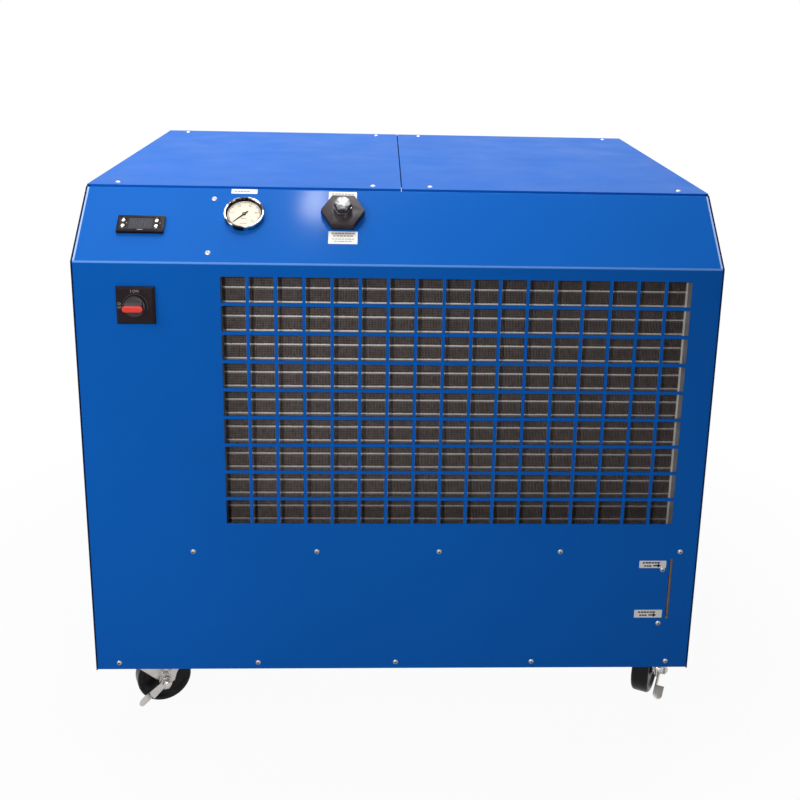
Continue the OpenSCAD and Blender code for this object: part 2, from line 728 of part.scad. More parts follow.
// Fan: plenum with its ring and motor bracket, motor, and turning blades
shroud_t = 1.5;
shroud_y0 = coil_y1 + plate_t + 2*seat;
shroud_y1 = shroud_y0 + plenum_d;
ring_l = 45;
fan_r = (coil_z1 - coil_z0)/2 - fan_rim;
ring_r = fan_r + fan_gap;
motor_y0 = shroud_y1 + motor_back;
band_t = 4;
band_l = 30;
band_y = motor_y0 + fan_motor_l/2 - band_l/2;
arm_w = 20;
arm_gap = 8;
arm_r = ring_r + arm_gap;
arm_t = 4;
fan_shaft_r = 8;
hub_r = 55;
hub_l = 40;
hub_gap = 12;
hub_y = shroud_y1 + hub_gap;
motor_bore = 60;
module at_fan(y) { at_deck() translate([fan_x, y, fan_z]) rotate([-90, 0, 0]) children(); }
module fan_shroud() {
  color(zinc) {
    difference() {
      union() {
        at_deck() difference() {
          box([coil_x0, shroud_y0, coil_z0], [coil_x1, shroud_y1, coil_z1]);
          box([coil_x0 + shroud_t, shroud_y0 - eps, coil_z0 + shroud_t],
            [coil_x1 - shroud_t, shroud_y1 - shroud_t, coil_z1 - shroud_t]);
        }
        at_fan(shroud_y1) cylinder(r = ring_r + shroud_t, h = ring_l);
      }
      at_fan(shroud_y1 - 2*shroud_t) cylinder(r = ring_r, h = ring_l + 3*shroud_t);
    }
    difference() {
      union() {
        for (a = [45:90:315]) {
          at_fan(shroud_y1 + seat) rotate([0, 0, a])
            box([arm_r, -arm_w/2, 0], [arm_r + arm_t, arm_w/2, band_y + band_l/2 - shroud_y1]);
          at_fan(band_y + band_l/2 - arm_t) rotate([0, 0, a])
            box([fan_motor_r + band_t/2, -arm_w/2, 0], [arm_r + arm_t, arm_w/2, arm_t]);
        }
        at_fan(band_y) cylinder(r = fan_motor_r + band_t, h = band_l);
      }
      at_fan(band_y - eps) cylinder(r = fan_motor_r + seat, h = band_l + 2*eps);
    }
  }
}
module fan_motor() {
  color(black) difference() {
    at_fan(motor_y0) cylinder(r = fan_motor_r, h = fan_motor_l);
    at_fan(motor_y0 - eps) cylinder(r = fan_shaft_r + run_fit, h = motor_bore);
  }
}
blade_t = 3;
blade_curve_r = 90;
blade_sweep = 52;
blade_pitch = 32;
module blade() {
  rotate([0, 90, 0]) linear_extrude(fan_r + blade_curve_r) rotate([0, 0, blade_pitch])
    translate([-blade_curve_r, 0])
      polygon(concat(arc([0, 0], blade_curve_r, -blade_sweep/2, blade_sweep/2, arc_steps),
        arc([0, 0], blade_curve_r - blade_t, blade_sweep/2, -blade_sweep/2, arc_steps)));
}
module fan_rotor() {
  color("silver") at_fan(hub_y) union() {
    cylinder(r = hub_r, h = hub_l);
    cylinder(r = fan_shaft_r, h = motor_y0 - hub_y + motor_bore/2);
    intersection() {
      translate([0, 0, hub_l/2]) for (i = [0:blades - 1]) rotate([0, 0, i*360/blades]) blade();
      translate([0, 0, -hub_l]) cylinder(r = fan_r, h = 3*hub_l);
    }
  }
}

// Compressor on its rubber feet
foot_w = 230;
comp_share = 0.29;
comp_back = 30;
comp_x = -comp_share*body_w;
comp_y = body_d - comp_back - foot_w/2;
grommet_h = 14;
grommet_r = 14;
foot_t = 4;
foot_in = 22;
comp_z = pan_t + grommet_h + 2*seat + foot_t;
comp_dome = 45;
end_steps = 8;
function capsule(r, h, d) = let (big = (r*r + d*d)/2/d, a = asin(r/big))
  concat([[0, 0]], arc([0, big], big, -90, -90 + a, end_steps),
    arc([0, h - big], big, 90 - a, 90, end_steps));
module vessel(r, h, d) { rotate_extrude() polygon(capsule(r, h, d)); }
term_w = 60;
term_d = 34;
term_h = 90;
module compressor() {
  color(black) at_deck() translate([comp_x, comp_y, 0]) {
    difference() {
      box([-foot_w/2, -foot_w/2, comp_z - foot_t], [foot_w/2, foot_w/2, comp_z]);
      for (a = [45:90:315]) rotate([0, 0, a])
        translate([(foot_w/2 - foot_in)*sqrt(2), 0, 0]) cylinder(r = screw_hole_r*2, h = comp_z + eps);
    }
    translate([0, 0, comp_z + seat]) vessel(comp_r, comp_h, comp_dome);
    box([-term_w/2, -comp_r - seat - term_d, comp_z + comp_h/2],
      [term_w/2, -comp_r - seat, comp_z + comp_h/2 + term_h]);
  }
}
module compressor_grommets() {
  color(rubber) at_deck() translate([comp_x, comp_y, pan_t + seat])
    for (a = [45:90:315]) rotate([0, 0, a])
      translate([(foot_w/2 - foot_in)*sqrt(2), 0, 0]) tube(grommet_r, screw_hole_r*2, grommet_h);
}

// Liquid receiver and filter drier
receiver_share = 0.094;
receiver_back = 15;
receiver_x = -receiver_share*body_w;
receiver_y = body_d - receiver_back - receiver_r;
receiver_dome = 22;
drier_share = 0.019;
drier_x = drier_share*body_w;
drier_l = 130;
drier_r = 30;
drier_z = 57;
module receiver_and_drier() {
  color(black) at_deck() {
    translate([receiver_x, receiver_y, pan_t + seat]) vessel(receiver_r, receiver_h, receiver_dome);
    translate([drier_x, receiver_y, drier_z]) rotate([0, 90, 0]) vessel(drier_r, drier_l, drier_r/2);
  }
}

// Brazed-plate evaporator with four stubs
evap_side_share = 0.159;
evap_depth_share = 0.5874;
evap_x = evap_side_share*body_w;
evap_y = evap_depth_share*body_d;
stub_l = 15;
water_stub_r = 14;
gas_stub_r = 10;
stub_in = 30;
stub_low = drier_z;
evap_top = pan_t + seat + evap_h;
gas_x = evap_x + stub_in;
water_x = evap_x + evap_w - stub_in;
module evaporator() {
  color(steel) at_deck() {
    box([evap_x, evap_y, pan_t + seat], [evap_x + evap_w, evap_y + evap_d, evap_top]);
    for (z = [stub_low, evap_top - stub_low]) {
      translate([gas_x, evap_y + evap_d, z]) rotate([-90, 0, 0]) cylinder(r = gas_stub_r, h = stub_l);
    }
    translate([water_x, evap_y + evap_d, evap_top - stub_low]) rotate([-90, 0, 0])
      cylinder(r = water_stub_r, h = stub_l);
    translate([water_x, evap_y, stub_low]) rotate([90, 0, 0]) cylinder(r = water_stub_r, h = stub_l);
  }
}

// Refrigerant lines: gas and liquid headers, receiver, drier, valve and suction
gas_r = 6;
liquid_r = 5;
suction_r = 9;
line_bend = 22;
gauge_bend = 9;
header_x = coil_x0 - tube_stub - seat - gas_r;
liquid_in = 30;
liquid_y = shelf_y1 - liquid_in;
comp_top = comp_z + seat + comp_h;
valve_r = 14;
valve_l = 40;
valve_cap_r = 22;
valve_cap_t = 8;
valve_gap = 60;
module header(z, r) {
  translate([header_x, coil_ys[0] - r, z]) rotate([-90, 0, 0]) cylinder(r = gas_r, h = row_pitch + 2*r);
}
module refrigerant_lines() {
  top = tube_z(coil_rows - 1);
  low = tube_z(0);
  back = evap_y + evap_d + stub_l + seat;
  color(copper) at_deck() {
    header(top, gas_r);
    line_run([[header_x, coil_ys[1] + gas_r, top], [header_x, comp_y, top], [header_x, comp_y, comp_top]],
      gas_r - run_fit, line_bend);
    header(low, gas_r);
    line_run([[header_x, coil_ys[1] + gas_r, low], [header_x, liquid_y, low], [receiver_x, liquid_y, low],
      [receiver_x, receiver_y - receiver_r - seat, low]], liquid_r, line_bend);
    line_run([[receiver_x + receiver_r + seat, receiver_y, drier_z], [drier_x - seat, receiver_y, drier_z]],
      liquid_r, line_bend);
    line_run([[drier_x + drier_l + seat, receiver_y, drier_z], [gas_x, receiver_y, drier_z],
      [gas_x, back, stub_low]], liquid_r, line_bend);
    translate([gas_x, back + valve_gap, stub_low]) rotate([90, 0, 0]) cylinder(r = valve_r, h = valve_l);
    translate([gas_x, back + valve_gap - valve_l/2, stub_low + valve_r/2])
      cylinder(r = valve_cap_r/2, h = valve_r);
    translate([gas_x, back + valve_gap - valve_l/2, stub_low + 3*valve_r/2])
      cylinder(r = valve_cap_r, h = valve_cap_t);
    line_run([[gas_x, back, evap_top - stub_low], [gas_x, comp_y, evap_top - stub_low],
      [comp_x + comp_r + seat, comp_y, evap_top - stub_low]], suction_r, line_bend);
  }
}

// Tank with its cover and the blocks of the level sight
tank_side = 35;
tank_under = 8;
tank_x1 = panel_x - tank_side;
tank_x0 = tank_x1 - tank_w;
tank_y0 = tank_in;
tank_y1 = shelf_y1 - tank_back;
tank_z0 = pan_t + seat;
tank_z1 = shelf_z - tank_under;
sight_shift = 4;
sight_x = slot_x + sight_shift;
sight_y = 16;
block_w = 16;
block_h = 13;
tank_fill_share = 0.28;
tank_fill_x = tank_fill_share*body_w;
tank_fill_z = 150;
pump_z = 95;
pump_y = 120;
hose_r = 13;
module reservoir_tank() {
  color("ivory") at_deck() difference() {
    union() {
      box([tank_x0, tank_y0, tank_z0], [tank_x1, tank_y1, tank_z1]);
      for (z = [slot_up - block_h, slot_up + slot_l])
        box([sight_x - block_w/2, sight_y - block_w/2, z],
          [sight_x + block_w/2, tank_y0 + tank_t, z + block_h]);
    }
    box([tank_x0 + tank_t, tank_y0 + tank_t, tank_z0 + tank_t],
      [tank_x1 - tank_t, tank_y1 - tank_t, tank_z1 - tank_t]);
    translate([tank_x0 - eps, pump_y, pump_z]) rotate([0, 90, 0]) cylinder(r = hose_r/2, h = tank_t + 2*eps);
    translate([tank_fill_x, tank_y1 + eps, tank_fill_z]) rotate([90, 0, 0])
      cylinder(r = hose_r/2, h = tank_t + 2*eps);
  }
}
module sight_tube() {
  color("lightcyan") at_deck() translate([sight_x, sight_y, slot_up]) tube(sight_r, sight_r*3/4, slot_l);
}

// Pump, its motor and the turning shaft and impeller
pump_share = 0.03;
pump_x0 = pump_share*body_w;
pump_wall = 14;
pump_shaft_r = 6;
cavity_gap = 5;
impeller_t = 14;
outlet_r = 11;
outlet_boss_r = 16;
outlet_up = 80;
stand_w = 90;
stand_t = 3;
module at_pump(x) { at_deck() translate([x, pump_y, pump_z]) rotate([0, 90, 0]) children(); }
module pump_casing() {
  color("darkgreen") difference() {
    union() {
      at_pump(pump_x0) cylinder(r = pump_r, h = pump_l);
      at_deck() translate([pump_x0 + pump_l/2, pump_y, pump_z]) cylinder(r = outlet_boss_r, h = outlet_up);
    }
    at_pump(pump_x0 + pump_wall) cylinder(r = impeller_r + cavity_gap, h = pump_l - 2*pump_wall);
    at_pump(pump_x0 - eps) cylinder(r = pump_shaft_r + run_fit, h = pump_wall + 2*eps);
    at_pump(pump_x0 + pump_l - pump_wall - eps) cylinder(r = hose_r, h = pump_wall + 2*eps);
    at_deck() translate([pump_x0 + pump_l/2, pump_y, pump_z]) cylinder(r = outlet_r, h = outlet_up + eps);
  }
}
module pump_motor() {
  color(black) difference() {
    union() {
      at_pump(pump_x0 - seat - pump_motor_l) cylinder(r = pump_motor_r, h = pump_motor_l);
      at_deck() box([pump_x0 - pump_motor_l + stand_w/2, pump_y - stand_w/2, pan_t + seat],
        [pump_x0 - stand_w/2, pump_y + stand_w/2, pan_t + seat + stand_t]);
      at_deck() box([pump_x0 - pump_motor_l + stand_w/2, pump_y - stand_w/4, pan_t + seat],
        [pump_x0 - stand_w/2, pump_y + stand_w/4, pump_z - pump_motor_r/2]);
    }
    at_pump(pump_x0 - pump_motor_l/2) cylinder(r = pump_shaft_r + run_fit, h = pump_motor_l);
  }
}
module pump_rotor() {
  color(brass) union() {
    at_pump(pump_x0 - pump_motor_l/4) cylinder(r = pump_shaft_r, h = pump_motor_l/4 + pump_l/2);
    at_pump(pump_x0 + pump_l/2 - impeller_t/2) cylinder(r = impeller_r, h = impeller_t);
  }
}

// Coolant lines between the filler, tank, pump, evaporator and rear ports
hose_bend = 24;
port_tail = 26;
fill_hose_r = 14;
fill_drop_share = 0.14;
fill_drop_x = -fill_drop_share*body_w;
fill_drop_y = shelf_y1 + fill_hose_r + slip;
filler_end = [-filler_off, filler_s*cos(slope_a), front_h + filler_s*sin(slope_a)]
  - (filler_d + seat)*[0, slope_out[0], slope_out[1]];
gauge_end = [-gauge_off, gauge_s*cos(slope_a), front_h + gauge_s*sin(slope_a)]
  - (gauge_d + gauge_case_r + seat)*[0, slope_out[0], slope_out[1]];
hose_clear = 3;
fill_lead = (filler_end[2] - coil_z1 - fill_hose_r - hose_clear)/cos(slope_a);
gauge_lead = (gauge_end[2] - coil_z1 - gauge_line_r - hose_clear)/cos(slope_a);
hose_z = 205;
cross_lead = 23;
cross_y = evap_y - stub_l - seat - cross_lead;
outlet_share = 0.82;
outlet_y = outlet_share*body_d;
inward = [0, -slope_out[0], -slope_out[1]];
module coolant_lines() {
  gauge_knee = gauge_end + gauge_lead*inward;
  fill_knee = filler_end + fill_lead*inward;
  out_top = [pump_x0 + pump_l/2, pump_y, pump_z + outlet_up + seat];
  evap_out = [water_x, evap_y + evap_d + stub_l + seat, evap_top - stub_low];
  color(rubber) at_deck() {
    line_run([filler_end, fill_knee, [fill_drop_x, fill_drop_y, fill_knee[2]],
      [fill_drop_x, fill_drop_y, tank_fill_z], [tank_fill_x, fill_drop_y, tank_fill_z],
      [tank_fill_x, tank_y1 + seat, tank_fill_z]], fill_hose_r, hose_bend - seat);
    line_run([gauge_end, gauge_knee, [-gauge_off, gauge_line_y, gauge_knee[2]],
      [-gauge_off, gauge_line_y, hose_z], [out_top[0] - hose_r - seat, gauge_line_y, hose_z]],
      gauge_line_r, gauge_bend);
    line_run([[pump_x0 + pump_l + seat, pump_y, pump_z], [tank_x0 - seat, pump_y, pump_z]], hose_r, hose_bend);
    line_run([out_top, [out_top[0], pump_y, hose_z], [out_top[0], cross_y, hose_z], [water_x, cross_y, hose_z],
      [water_x, cross_y, stub_low], [water_x, evap_y - stub_l - seat, stub_low]], hose_r, hose_bend);
    line_run([evap_out, [water_x, outlet_y, evap_out[2]], [supply_x, outlet_y, evap_out[2]],
      [supply_x, outlet_y, port_z], [supply_x, body_d - port_tail - seat, port_z]], hose_r, hose_bend);
    line_run([[return_x, tank_y1 + seat, port_z], [return_x, body_d - port_tail - seat, port_z]],
      hose_r, hose_bend);
  }
}

// Rear fittings: two water ports, the drain valve with its lever, and the cable gland
port_af = 46;
port_hex = 12;
nut_t = 8;
module water_ports() {
  color(brass) for (x = [supply_x, return_x]) on_rear(x, port_z) difference() {
    union() {
      hexagon(port_af, port_hex);
      cylinder(r = port_shank_r, h = port_proud);
      translate([0, 0, -port_tail]) cylinder(r = port_shank_r, h = port_tail);
      translate([0, 0, -sheet_t - nut_t]) hexagon(port_af, nut_t);
    }
    translate([0, 0, port_proud - port_l]) cylinder(r = port_r, h = port_l + eps);
    translate([0, 0, -port_tail - eps]) cylinder(r = hose_r - sheet_t, h = port_tail + port_proud);
  }
}
valve_af = 26;
stem_r = 4;
stem_y = 24;
stem_h = 12;
drain_gap = 10;
handle_w = 14;
handle_l = 62;
handle_t = 2.5;
module drain_valve() {
  color(brass) difference() {
    union() {
      on_rear(drain_x, drain_z) {
        translate([0, 0, -body_d + tank_y1 + seat])
          cylinder(r = drain_pipe_r, h = body_d - tank_y1 - seat + eps);
        cylinder(r = valve_af/2, h = drain_proud - eps);
        hexagon(valve_af, drain_gap);
        translate([0, 0, drain_proud - drain_l]) hexagon(valve_af, drain_l);
      }
      at_deck() translate([drain_x, body_d + stem_y, drain_z]) cylinder(r = stem_r, h = valve_af/2 + stem_h);
    }
    on_rear(drain_x, drain_z) translate([0, 0, drain_proud - drain_l])
      cylinder(r = drain_r, h = drain_l + eps);
  }
}
module drain_handle() {
  color("crimson") at_deck()
    translate([drain_x, body_d + stem_y, drain_z + valve_af/2 + stem_h/3]) difference() {
    union() {
      cylinder(r = handle_w/2, h = handle_t);
      box([-handle_l, -handle_w/2, 0], [0, handle_w/2, handle_t]);
      box([-handle_l, -handle_w/2, 0], [-handle_l/3, handle_w/2, 2*handle_t]);
    }
    translate([0, 0, -eps]) cylinder(r = stem_r + run_fit, h = stem_h);
  }
}
gland_af = 33;
gland_hex = 7;
gland_tail = 12;
module cable_gland() {
  color(black) on_rear(gland_x, gland_z) difference() {
    union() {
      hexagon(gland_af, gland_hex);
      cylinder(r = gland_shank_r + sheet_t, h = gland_proud);
      translate([0, 0, gland_hex + sheet_t]) hexagon(gland_af - 2*sheet_t, gland_hex);
      translate([0, 0, -gland_tail]) cylinder(r = gland_shank_r, h = gland_tail);
      translate([0, 0, -sheet_t - gland_hex]) hexagon(gland_af, gland_hex);
    }
    translate([0, 0, -gland_tail - eps]) cylinder(r = gland_r, h = gland_tail + gland_proud + 2*eps);
  }
}

// Filler on the slope: black body, steel bushing, sealing ring and plug
neck_r = plug_r + run_fit;
bushing_d = 6;
module fill_bulkhead() {
  color(black) on_slope(-filler_off, filler_s) difference() {
    union() {
      hexagon(filler_af, filler_t);
      translate([0, 0, -filler_d]) cylinder(r = filler_r, h = filler_d);
      translate([0, 0, -sheet_t - filler_t/2 - seat]) hexagon(filler_af - sheet_t, filler_t/2);
    }
    translate([0, 0, -filler_d - eps]) cylinder(r = bushing_r + run_fit, h = filler_d + filler_t + 2*eps);
  }
}
module fill_bushing() {
  color(steel) on_slope(-filler_off, filler_s) difference() {
    union() {
      translate([0, 0, -bushing_d]) cylinder(r = bushing_r, h = bushing_d + filler_t);
      translate([0, 0, filler_t]) hexagon(plug_af, bushing_t);
    }
    translate([0, 0, -bushing_d - eps]) cylinder(r = neck_r, h = bushing_d + filler_t + bushing_t + 2*eps);
  }
}
module fill_seal() {
  color(rubber) on_slope(-filler_off, filler_s) translate([0, 0, filler_t + bushing_t + seat])
    tube(plug_af/2, neck_r, seal_t);
}
plug_z = filler_t + bushing_t + 2*seat + seal_t;
plug_face_share = 0.94;
module fill_plug() {
  color("silver") on_slope(-filler_off, filler_s) {
    translate([0, 0, plug_z]) intersection() {
      hexagon(plug_af, plug_h);
      cylinder(r1 = plug_af/2/cos(30) + plug_h/2, r2 = plug_af/2*plug_face_share, h = plug_h);
    }
    translate([0, 0, plug_z - plug_l]) cylinder(r = plug_r, h = plug_l);
  }
}

// Pressure gauge: case with bezel, dial, needle and lens
bezel_w = 3.5;
dial_z = 3;
dial_t = 0.8;
needle_t = 0.6;
needle_gap = 0.5;
needle_w = 2.4;
needle_tail = 8;
needle_hub_r = 3;
pin_r = 0.8;
lens_t = 1.5;
lens_down = 1.2;
needle_rest = 225;
module gauge_case() {
  color("silver") on_slope(-gauge_off, gauge_s) difference() {
    union() {
      cylinder(r = gauge_r, h = gauge_t);
      translate([0, 0, -gauge_d]) cylinder(r = gauge_case_r, h = gauge_d);
      translate([0, 0, -gauge_d - gauge_case_r]) cylinder(r = gauge_case_r/4, h = gauge_case_r + eps);
    }
    translate([0, 0, dial_z]) cylinder(r = gauge_r - bezel_w, h = gauge_t);
  }
}
module gauge_dial() {
  color("ivory") on_slope(-gauge_off, gauge_s) translate([0, 0, dial_z]) {
    cylinder(r = gauge_r - bezel_w - seat, h = dial_t);
    cylinder(r = pin_r, h = dial_t + needle_gap + 2*needle_t);
  }
}
module gauge_needle() {
  color("black") on_slope(-gauge_off, gauge_s) translate([0, 0, dial_z + dial_t + needle_gap])
    rotate([0, 0, needle_rest]) difference() {
      union() {
        linear_extrude(needle_t) polygon([[-needle_tail, -needle_w/2], [0, -needle_w/2], [needle_l, -needle_w/8],
          [needle_l, needle_w/8], [0, needle_w/2], [-needle_tail, needle_w/2]]);
        cylinder(r = needle_hub_r, h = 2*needle_t);
      }
      translate([0, 0, -eps]) cylinder(r = pin_r + run_fit, h = 3*eps);
    }
}
module gauge_lens() {
  color("lightblue") on_slope(-gauge_off, gauge_s) translate([0, 0, gauge_t - lens_down - lens_t])
    cylinder(r = gauge_r - bezel_w - run_fit, h = lens_t);
}

// Controller: case with its bezel, display recess and four sprung buttons
button_stem = 3;
button_xs = [-29, 25.5];
button_ys = [6.3, -4.7];
display_x = 19.7;
display_low = -10.5;
display_high = 12;
display_d = 0.8;
cut_slip = 0.25;
module ctrl_buttons_at(grow, low, high) {
  for (x = button_xs, y = button_ys) translate([x, y, low]) cylinder(r = button_r + grow, h = high - low);
}
module controller_case() {
  color("black") on_slope(ctrl_x, ctrl_s) difference() {
    union() {
      box([-ctrl_w/2, -ctrl_h/2, 0], [ctrl_w/2, ctrl_h/2, ctrl_t]);
      box([-ctrl_w/2 + ctrl_rim + cut_slip, -ctrl_h/2 + ctrl_rim + cut_slip, -ctrl_d],
        [ctrl_w/2 - ctrl_rim - cut_slip, ctrl_h/2 - ctrl_rim - cut_slip, 0]);
    }
    ctrl_buttons_at(slip, ctrl_t - button_stem - button_travel - slip, ctrl_t + eps);
    box([-display_x, display_low, ctrl_t - display_d], [display_x, display_high, ctrl_t + eps]);
  }
}
module ctrl_button(i, j) {
  color("silver") on_slope(ctrl_x, ctrl_s) translate([button_xs[i], button_ys[j], ctrl_t]) {
    translate([0, 0, -button_stem]) cylinder(r = button_r, h = button_stem);
    rotate_extrude() polygon(dome(button_r, button_proud));
  }
}

// Disconnect switch: plate, turning knob and red grip, with the block behind the panel
bevel = 4;
shaft_r = 5;
handle_wide = 20;
block_side = 50;
block_d = 42;
module switch_plate() {
  w = switch_w/2;
  face = [[-w, 0], [w, 0], [w, switch_t - bevel], [w - bevel, switch_t], [bevel - w, switch_t],
    [-w, switch_t - bevel]];
  color("black") on_front(switch_x, switch_up) difference() {
    intersection() {
      translate([0, w, 0]) rotate([90, 0, 0]) linear_extrude(switch_w) polygon(face);
      rotate([0, 0, 90]) translate([0, w, 0]) rotate([90, 0, 0]) linear_extrude(switch_w) polygon(face);
    }
    translate([0, 0, -eps]) cylinder(r = shaft_r + run_fit, h = switch_t + 2*eps);
  }
}
module switch_knob() {
  color("black") on_front(switch_x, switch_up) {
    translate([0, 0, switch_t + seat]) cylinder(r = knob_r, h = knob_foot - seat);
    translate([0, 0, switch_t + knob_foot]) rotate([90, 0, 90]) translate([0, 0, -grip_l/2 + grip_w/4])
      linear_extrude(grip_l - grip_w/2)
        polygon([[-handle_wide/2, 0], [handle_wide/2, 0], [grip_w/2, knob_h], [-grip_w/2, knob_h]]);
    translate([0, 0, -sheet_t]) cylinder(r = shaft_r, h = sheet_t + switch_t + knob_foot);
  }
}
module switch_grip() {
  low = switch_t + knob_foot + knob_h;
  color("red") on_front(switch_x, switch_up) {
    translate([-grip_l/2 + grip_w/2, 0, low]) cylinder(r = grip_w/2, h = grip_h);
    translate([grip_l/2 - grip_w/2, 0, low]) cylinder(r = grip_w/2, h = grip_h);
    box([-grip_l/2 + grip_w/2, -grip_w/2, low], [grip_l/2 - grip_w/2, grip_w/2, low + grip_h]);
  }
}

// Electrical compartment: bent wall, switch block, contactor and terminal strip
wall_off = 13.5;
wall_x = -slope_screw_off - wall_off;
wall_t = 2;
wall_y1 = 230;
wall_roof = frame_z - lid_lip - post_t - seat;
wall_down = 56;
wall_top = front_h - wall_down;
wall_w = 166;
wall_flange = 22;
contactor = [46, 76, 84];
contactor_up = 60;
contactor_z = shelf_z + contactor_up;
strip = [120, 26, 22];
strip_down = 140;
strip_z = wall_top - strip_down;
module control_box() {
  under = sheet_t + seat;
  start = [0, front_h] - under*slope_out;
  top_s = slope_l - 3*fold_r - under;
  color(zinc) difference() {
    at_deck() union() {
      along_x(wall_x - wall_t, wall_x) polygon([[under, shelf_z + shelf_t + seat],
        [under, front_h - under*tan((90 - slope_a)/2) - bend_r], start + bend_r*slope_dir,
        start + (wall_roof - start[1])/sin(slope_a)*slope_dir, [wall_y1, wall_roof],
        [wall_y1, shelf_z + shelf_t + seat]]);
      along_x(wall_x - wall_t, wall_x + wall_flange) polygon([start + bend_r*slope_dir, start + top_s*slope_dir,
        start + top_s*slope_dir - wall_t*slope_out, start + bend_r*slope_dir - wall_t*slope_out]);
      box([wall_x - wall_w, wall_y1 - wall_t, shelf_z + shelf_t + seat], [wall_x, wall_y1, wall_top]);
    }
    for (p = slope_screws) on_slope(p[0], p[1]) translate([0, 0, -return_d])
      cylinder(r = screw_hole_r, h = return_d);
  }
}
module switchgear() {
  color("whitesmoke") {
    on_front(switch_x, switch_up) difference() {
      translate([0, 0, -sheet_t - seat - block_d])
        box([-block_side/2, -block_side/2, 0], [block_side/2, block_side/2, block_d]);
      translate([0, 0, -sheet_t - block_d/2]) cylinder(r = shaft_r + run_fit, h = block_d);
    }
    at_deck() translate([wall_x - wall_w/2, wall_y1 - wall_t - seat, contactor_z])
      box([-contactor[0]/2, -contactor[1], 0], [contactor[0]/2, 0, contactor[2]]);
    at_deck() translate([wall_x - wall_w/2, wall_y1 - wall_t - seat, strip_z])
      box([-strip[0]/2, -strip[1], 0], [strip[0]/2, 0, strip[2]]);
  }
}

// Casters: swivelling with a side brake at the front, rigid at the rear
cast_plate = [66, 92, 3.5];
cup_r = 27;
cup_t = 4;
king_r = 6;
king_head_r = 10;
king_head_t = 3.5;
fork_disc_t = 5;
fork_t = 3;
fork_back = 18;
fork_ahead = 12;
fork_knee = 42;
eye_r = 13;
leg_gap = 2.5;
axle_z = wheel_r - caster_h;
leg_in = wheel_w/2 + leg_gap;
leg_out = leg_in + fork_t;
lever_t = 5;
lever_out = 6;
nut_af = 15;
axle_nut = 7;
fork_top = -cast_plate[2] - cup_t - seat;
web_top = fork_top - fork_disc_t;
caster_x = body_w/2 - caster_side;
rear_caster_y = body_d - caster_in;
nut_dome = 4;
arm_wide = 17;
arm_narrow = 11;
arm_thick = 3;
cam_shares = [[-0.85, 0.65], [-0.1, 1.15], [0.45, 1.15], [0.95, 1.6], [1.7, 2.5], [2.9, 2.5],
  [2.2, 1.6], [1.75, 1.15], [1.5, 0.55], [1.25, -0.35], [0.8, -0.5]];
tab_w = 10;
tab_t = 2;
tab_out = 7;
tab_low = 17;
hub_share = 0.8;
tread_round = 6;
hub_face_share = 0.82;
hub_dish = 4;
module at_caster(x, y, yaw) { at_deck() translate([x, y, 0]) rotate([0, 0, yaw]) children(); }
module at_axle(x, y, yaw, reach) {
  at_caster(x, y, yaw) translate([reach, 0, axle_z]) rotate([90, 0, 0]) children();
}
module caster_plates() {
  color(zinc) for (side = [-1, 1]) at_caster(side*caster_x, caster_in, 0) {
    translate([-cast_plate[0]/2, -cast_plate[1]/2, -cast_plate[2]]) cube(cast_plate);
    translate([0, 0, -cast_plate[2] - cup_t]) cylinder(r = cup_r, h = cup_t + eps);
    translate([0, 0, web_top - fork_t - seat - eps]) cylinder(r = king_r, h = -web_top + fork_t + seat);
    translate([0, 0, web_top - fork_t - seat - king_head_t]) cylinder(r = king_head_r, h = king_head_t);
  }
}
module fork_leg(y, reach, ahead, top) {
  low = arc([reach, axle_z], eye_r, 0, -180, 2*arc_steps);
  knee = axle_z + fork_knee;
  translate([0, y + fork_t, 0]) rotate([90, 0, 0]) linear_extrude(fork_t)
    polygon(concat([[-fork_back, knee], [-fork_back, top], [ahead, top], [ahead, knee]], low));
}
module axle_bolt(outer) {
  translate([0, 0, -leg_out - lever_t - seat]) cylinder(r = axle_r, h = leg_out + outer + lever_t + 2*seat);
  translate([0, 0, outer + seat]) hexagon(nut_af, axle_nut);
  translate([0, 0, outer + seat + axle_nut]) rotate_extrude() polygon(dome(nut_af/2, nut_dome));
  translate([0, 0, -leg_out - seat - axle_nut]) hexagon(nut_af, axle_nut);
}
module fork(x, y, yaw, reach, outer) {
  color(zinc) {
    at_caster(x, y, yaw) difference() {
      union() {
        translate([0, 0, web_top]) cylinder(r = cup_r, h = fork_disc_t);
        box([-fork_back, -leg_out, web_top - fork_t], [reach + fork_ahead, leg_out, web_top]);
        for (s = [-leg_out, leg_in]) fork_leg(s, reach, reach + fork_ahead, web_top);
      }
      translate([0, 0, web_top - fork_t - eps])
        cylinder(r = king_r + run_fit, h = fork_disc_t + fork_t + 2*eps);
      translate([reach, leg_out + eps, axle_z]) rotate([90, 0, 0])
        cylinder(r = axle_r + run_fit, h = 2*leg_out + 2*eps);
    }
    at_axle(x, y, yaw, reach) axle_bolt(outer);
  }
}
module rear_forks() {
  for (side = [-1, 1]) color(zinc) {
    at_caster(side*caster_x, rear_caster_y, 90) difference() {
      union() {
        translate([-cast_plate[1]/2, -cast_plate[0]/2, -cast_plate[2]])
          cube([cast_plate[1], cast_plate[0], cast_plate[2]]);
        for (s = [-leg_out, leg_in]) fork_leg(s, 0, fork_back, -cast_plate[2]);
      }
      translate([0, leg_out + eps, axle_z]) rotate([90, 0, 0])
        cylinder(r = axle_r + run_fit, h = 2*leg_out + 2*eps);
    }
    at_axle(side*caster_x, rear_caster_y, 90, 0) axle_bolt(leg_out);
  }
}
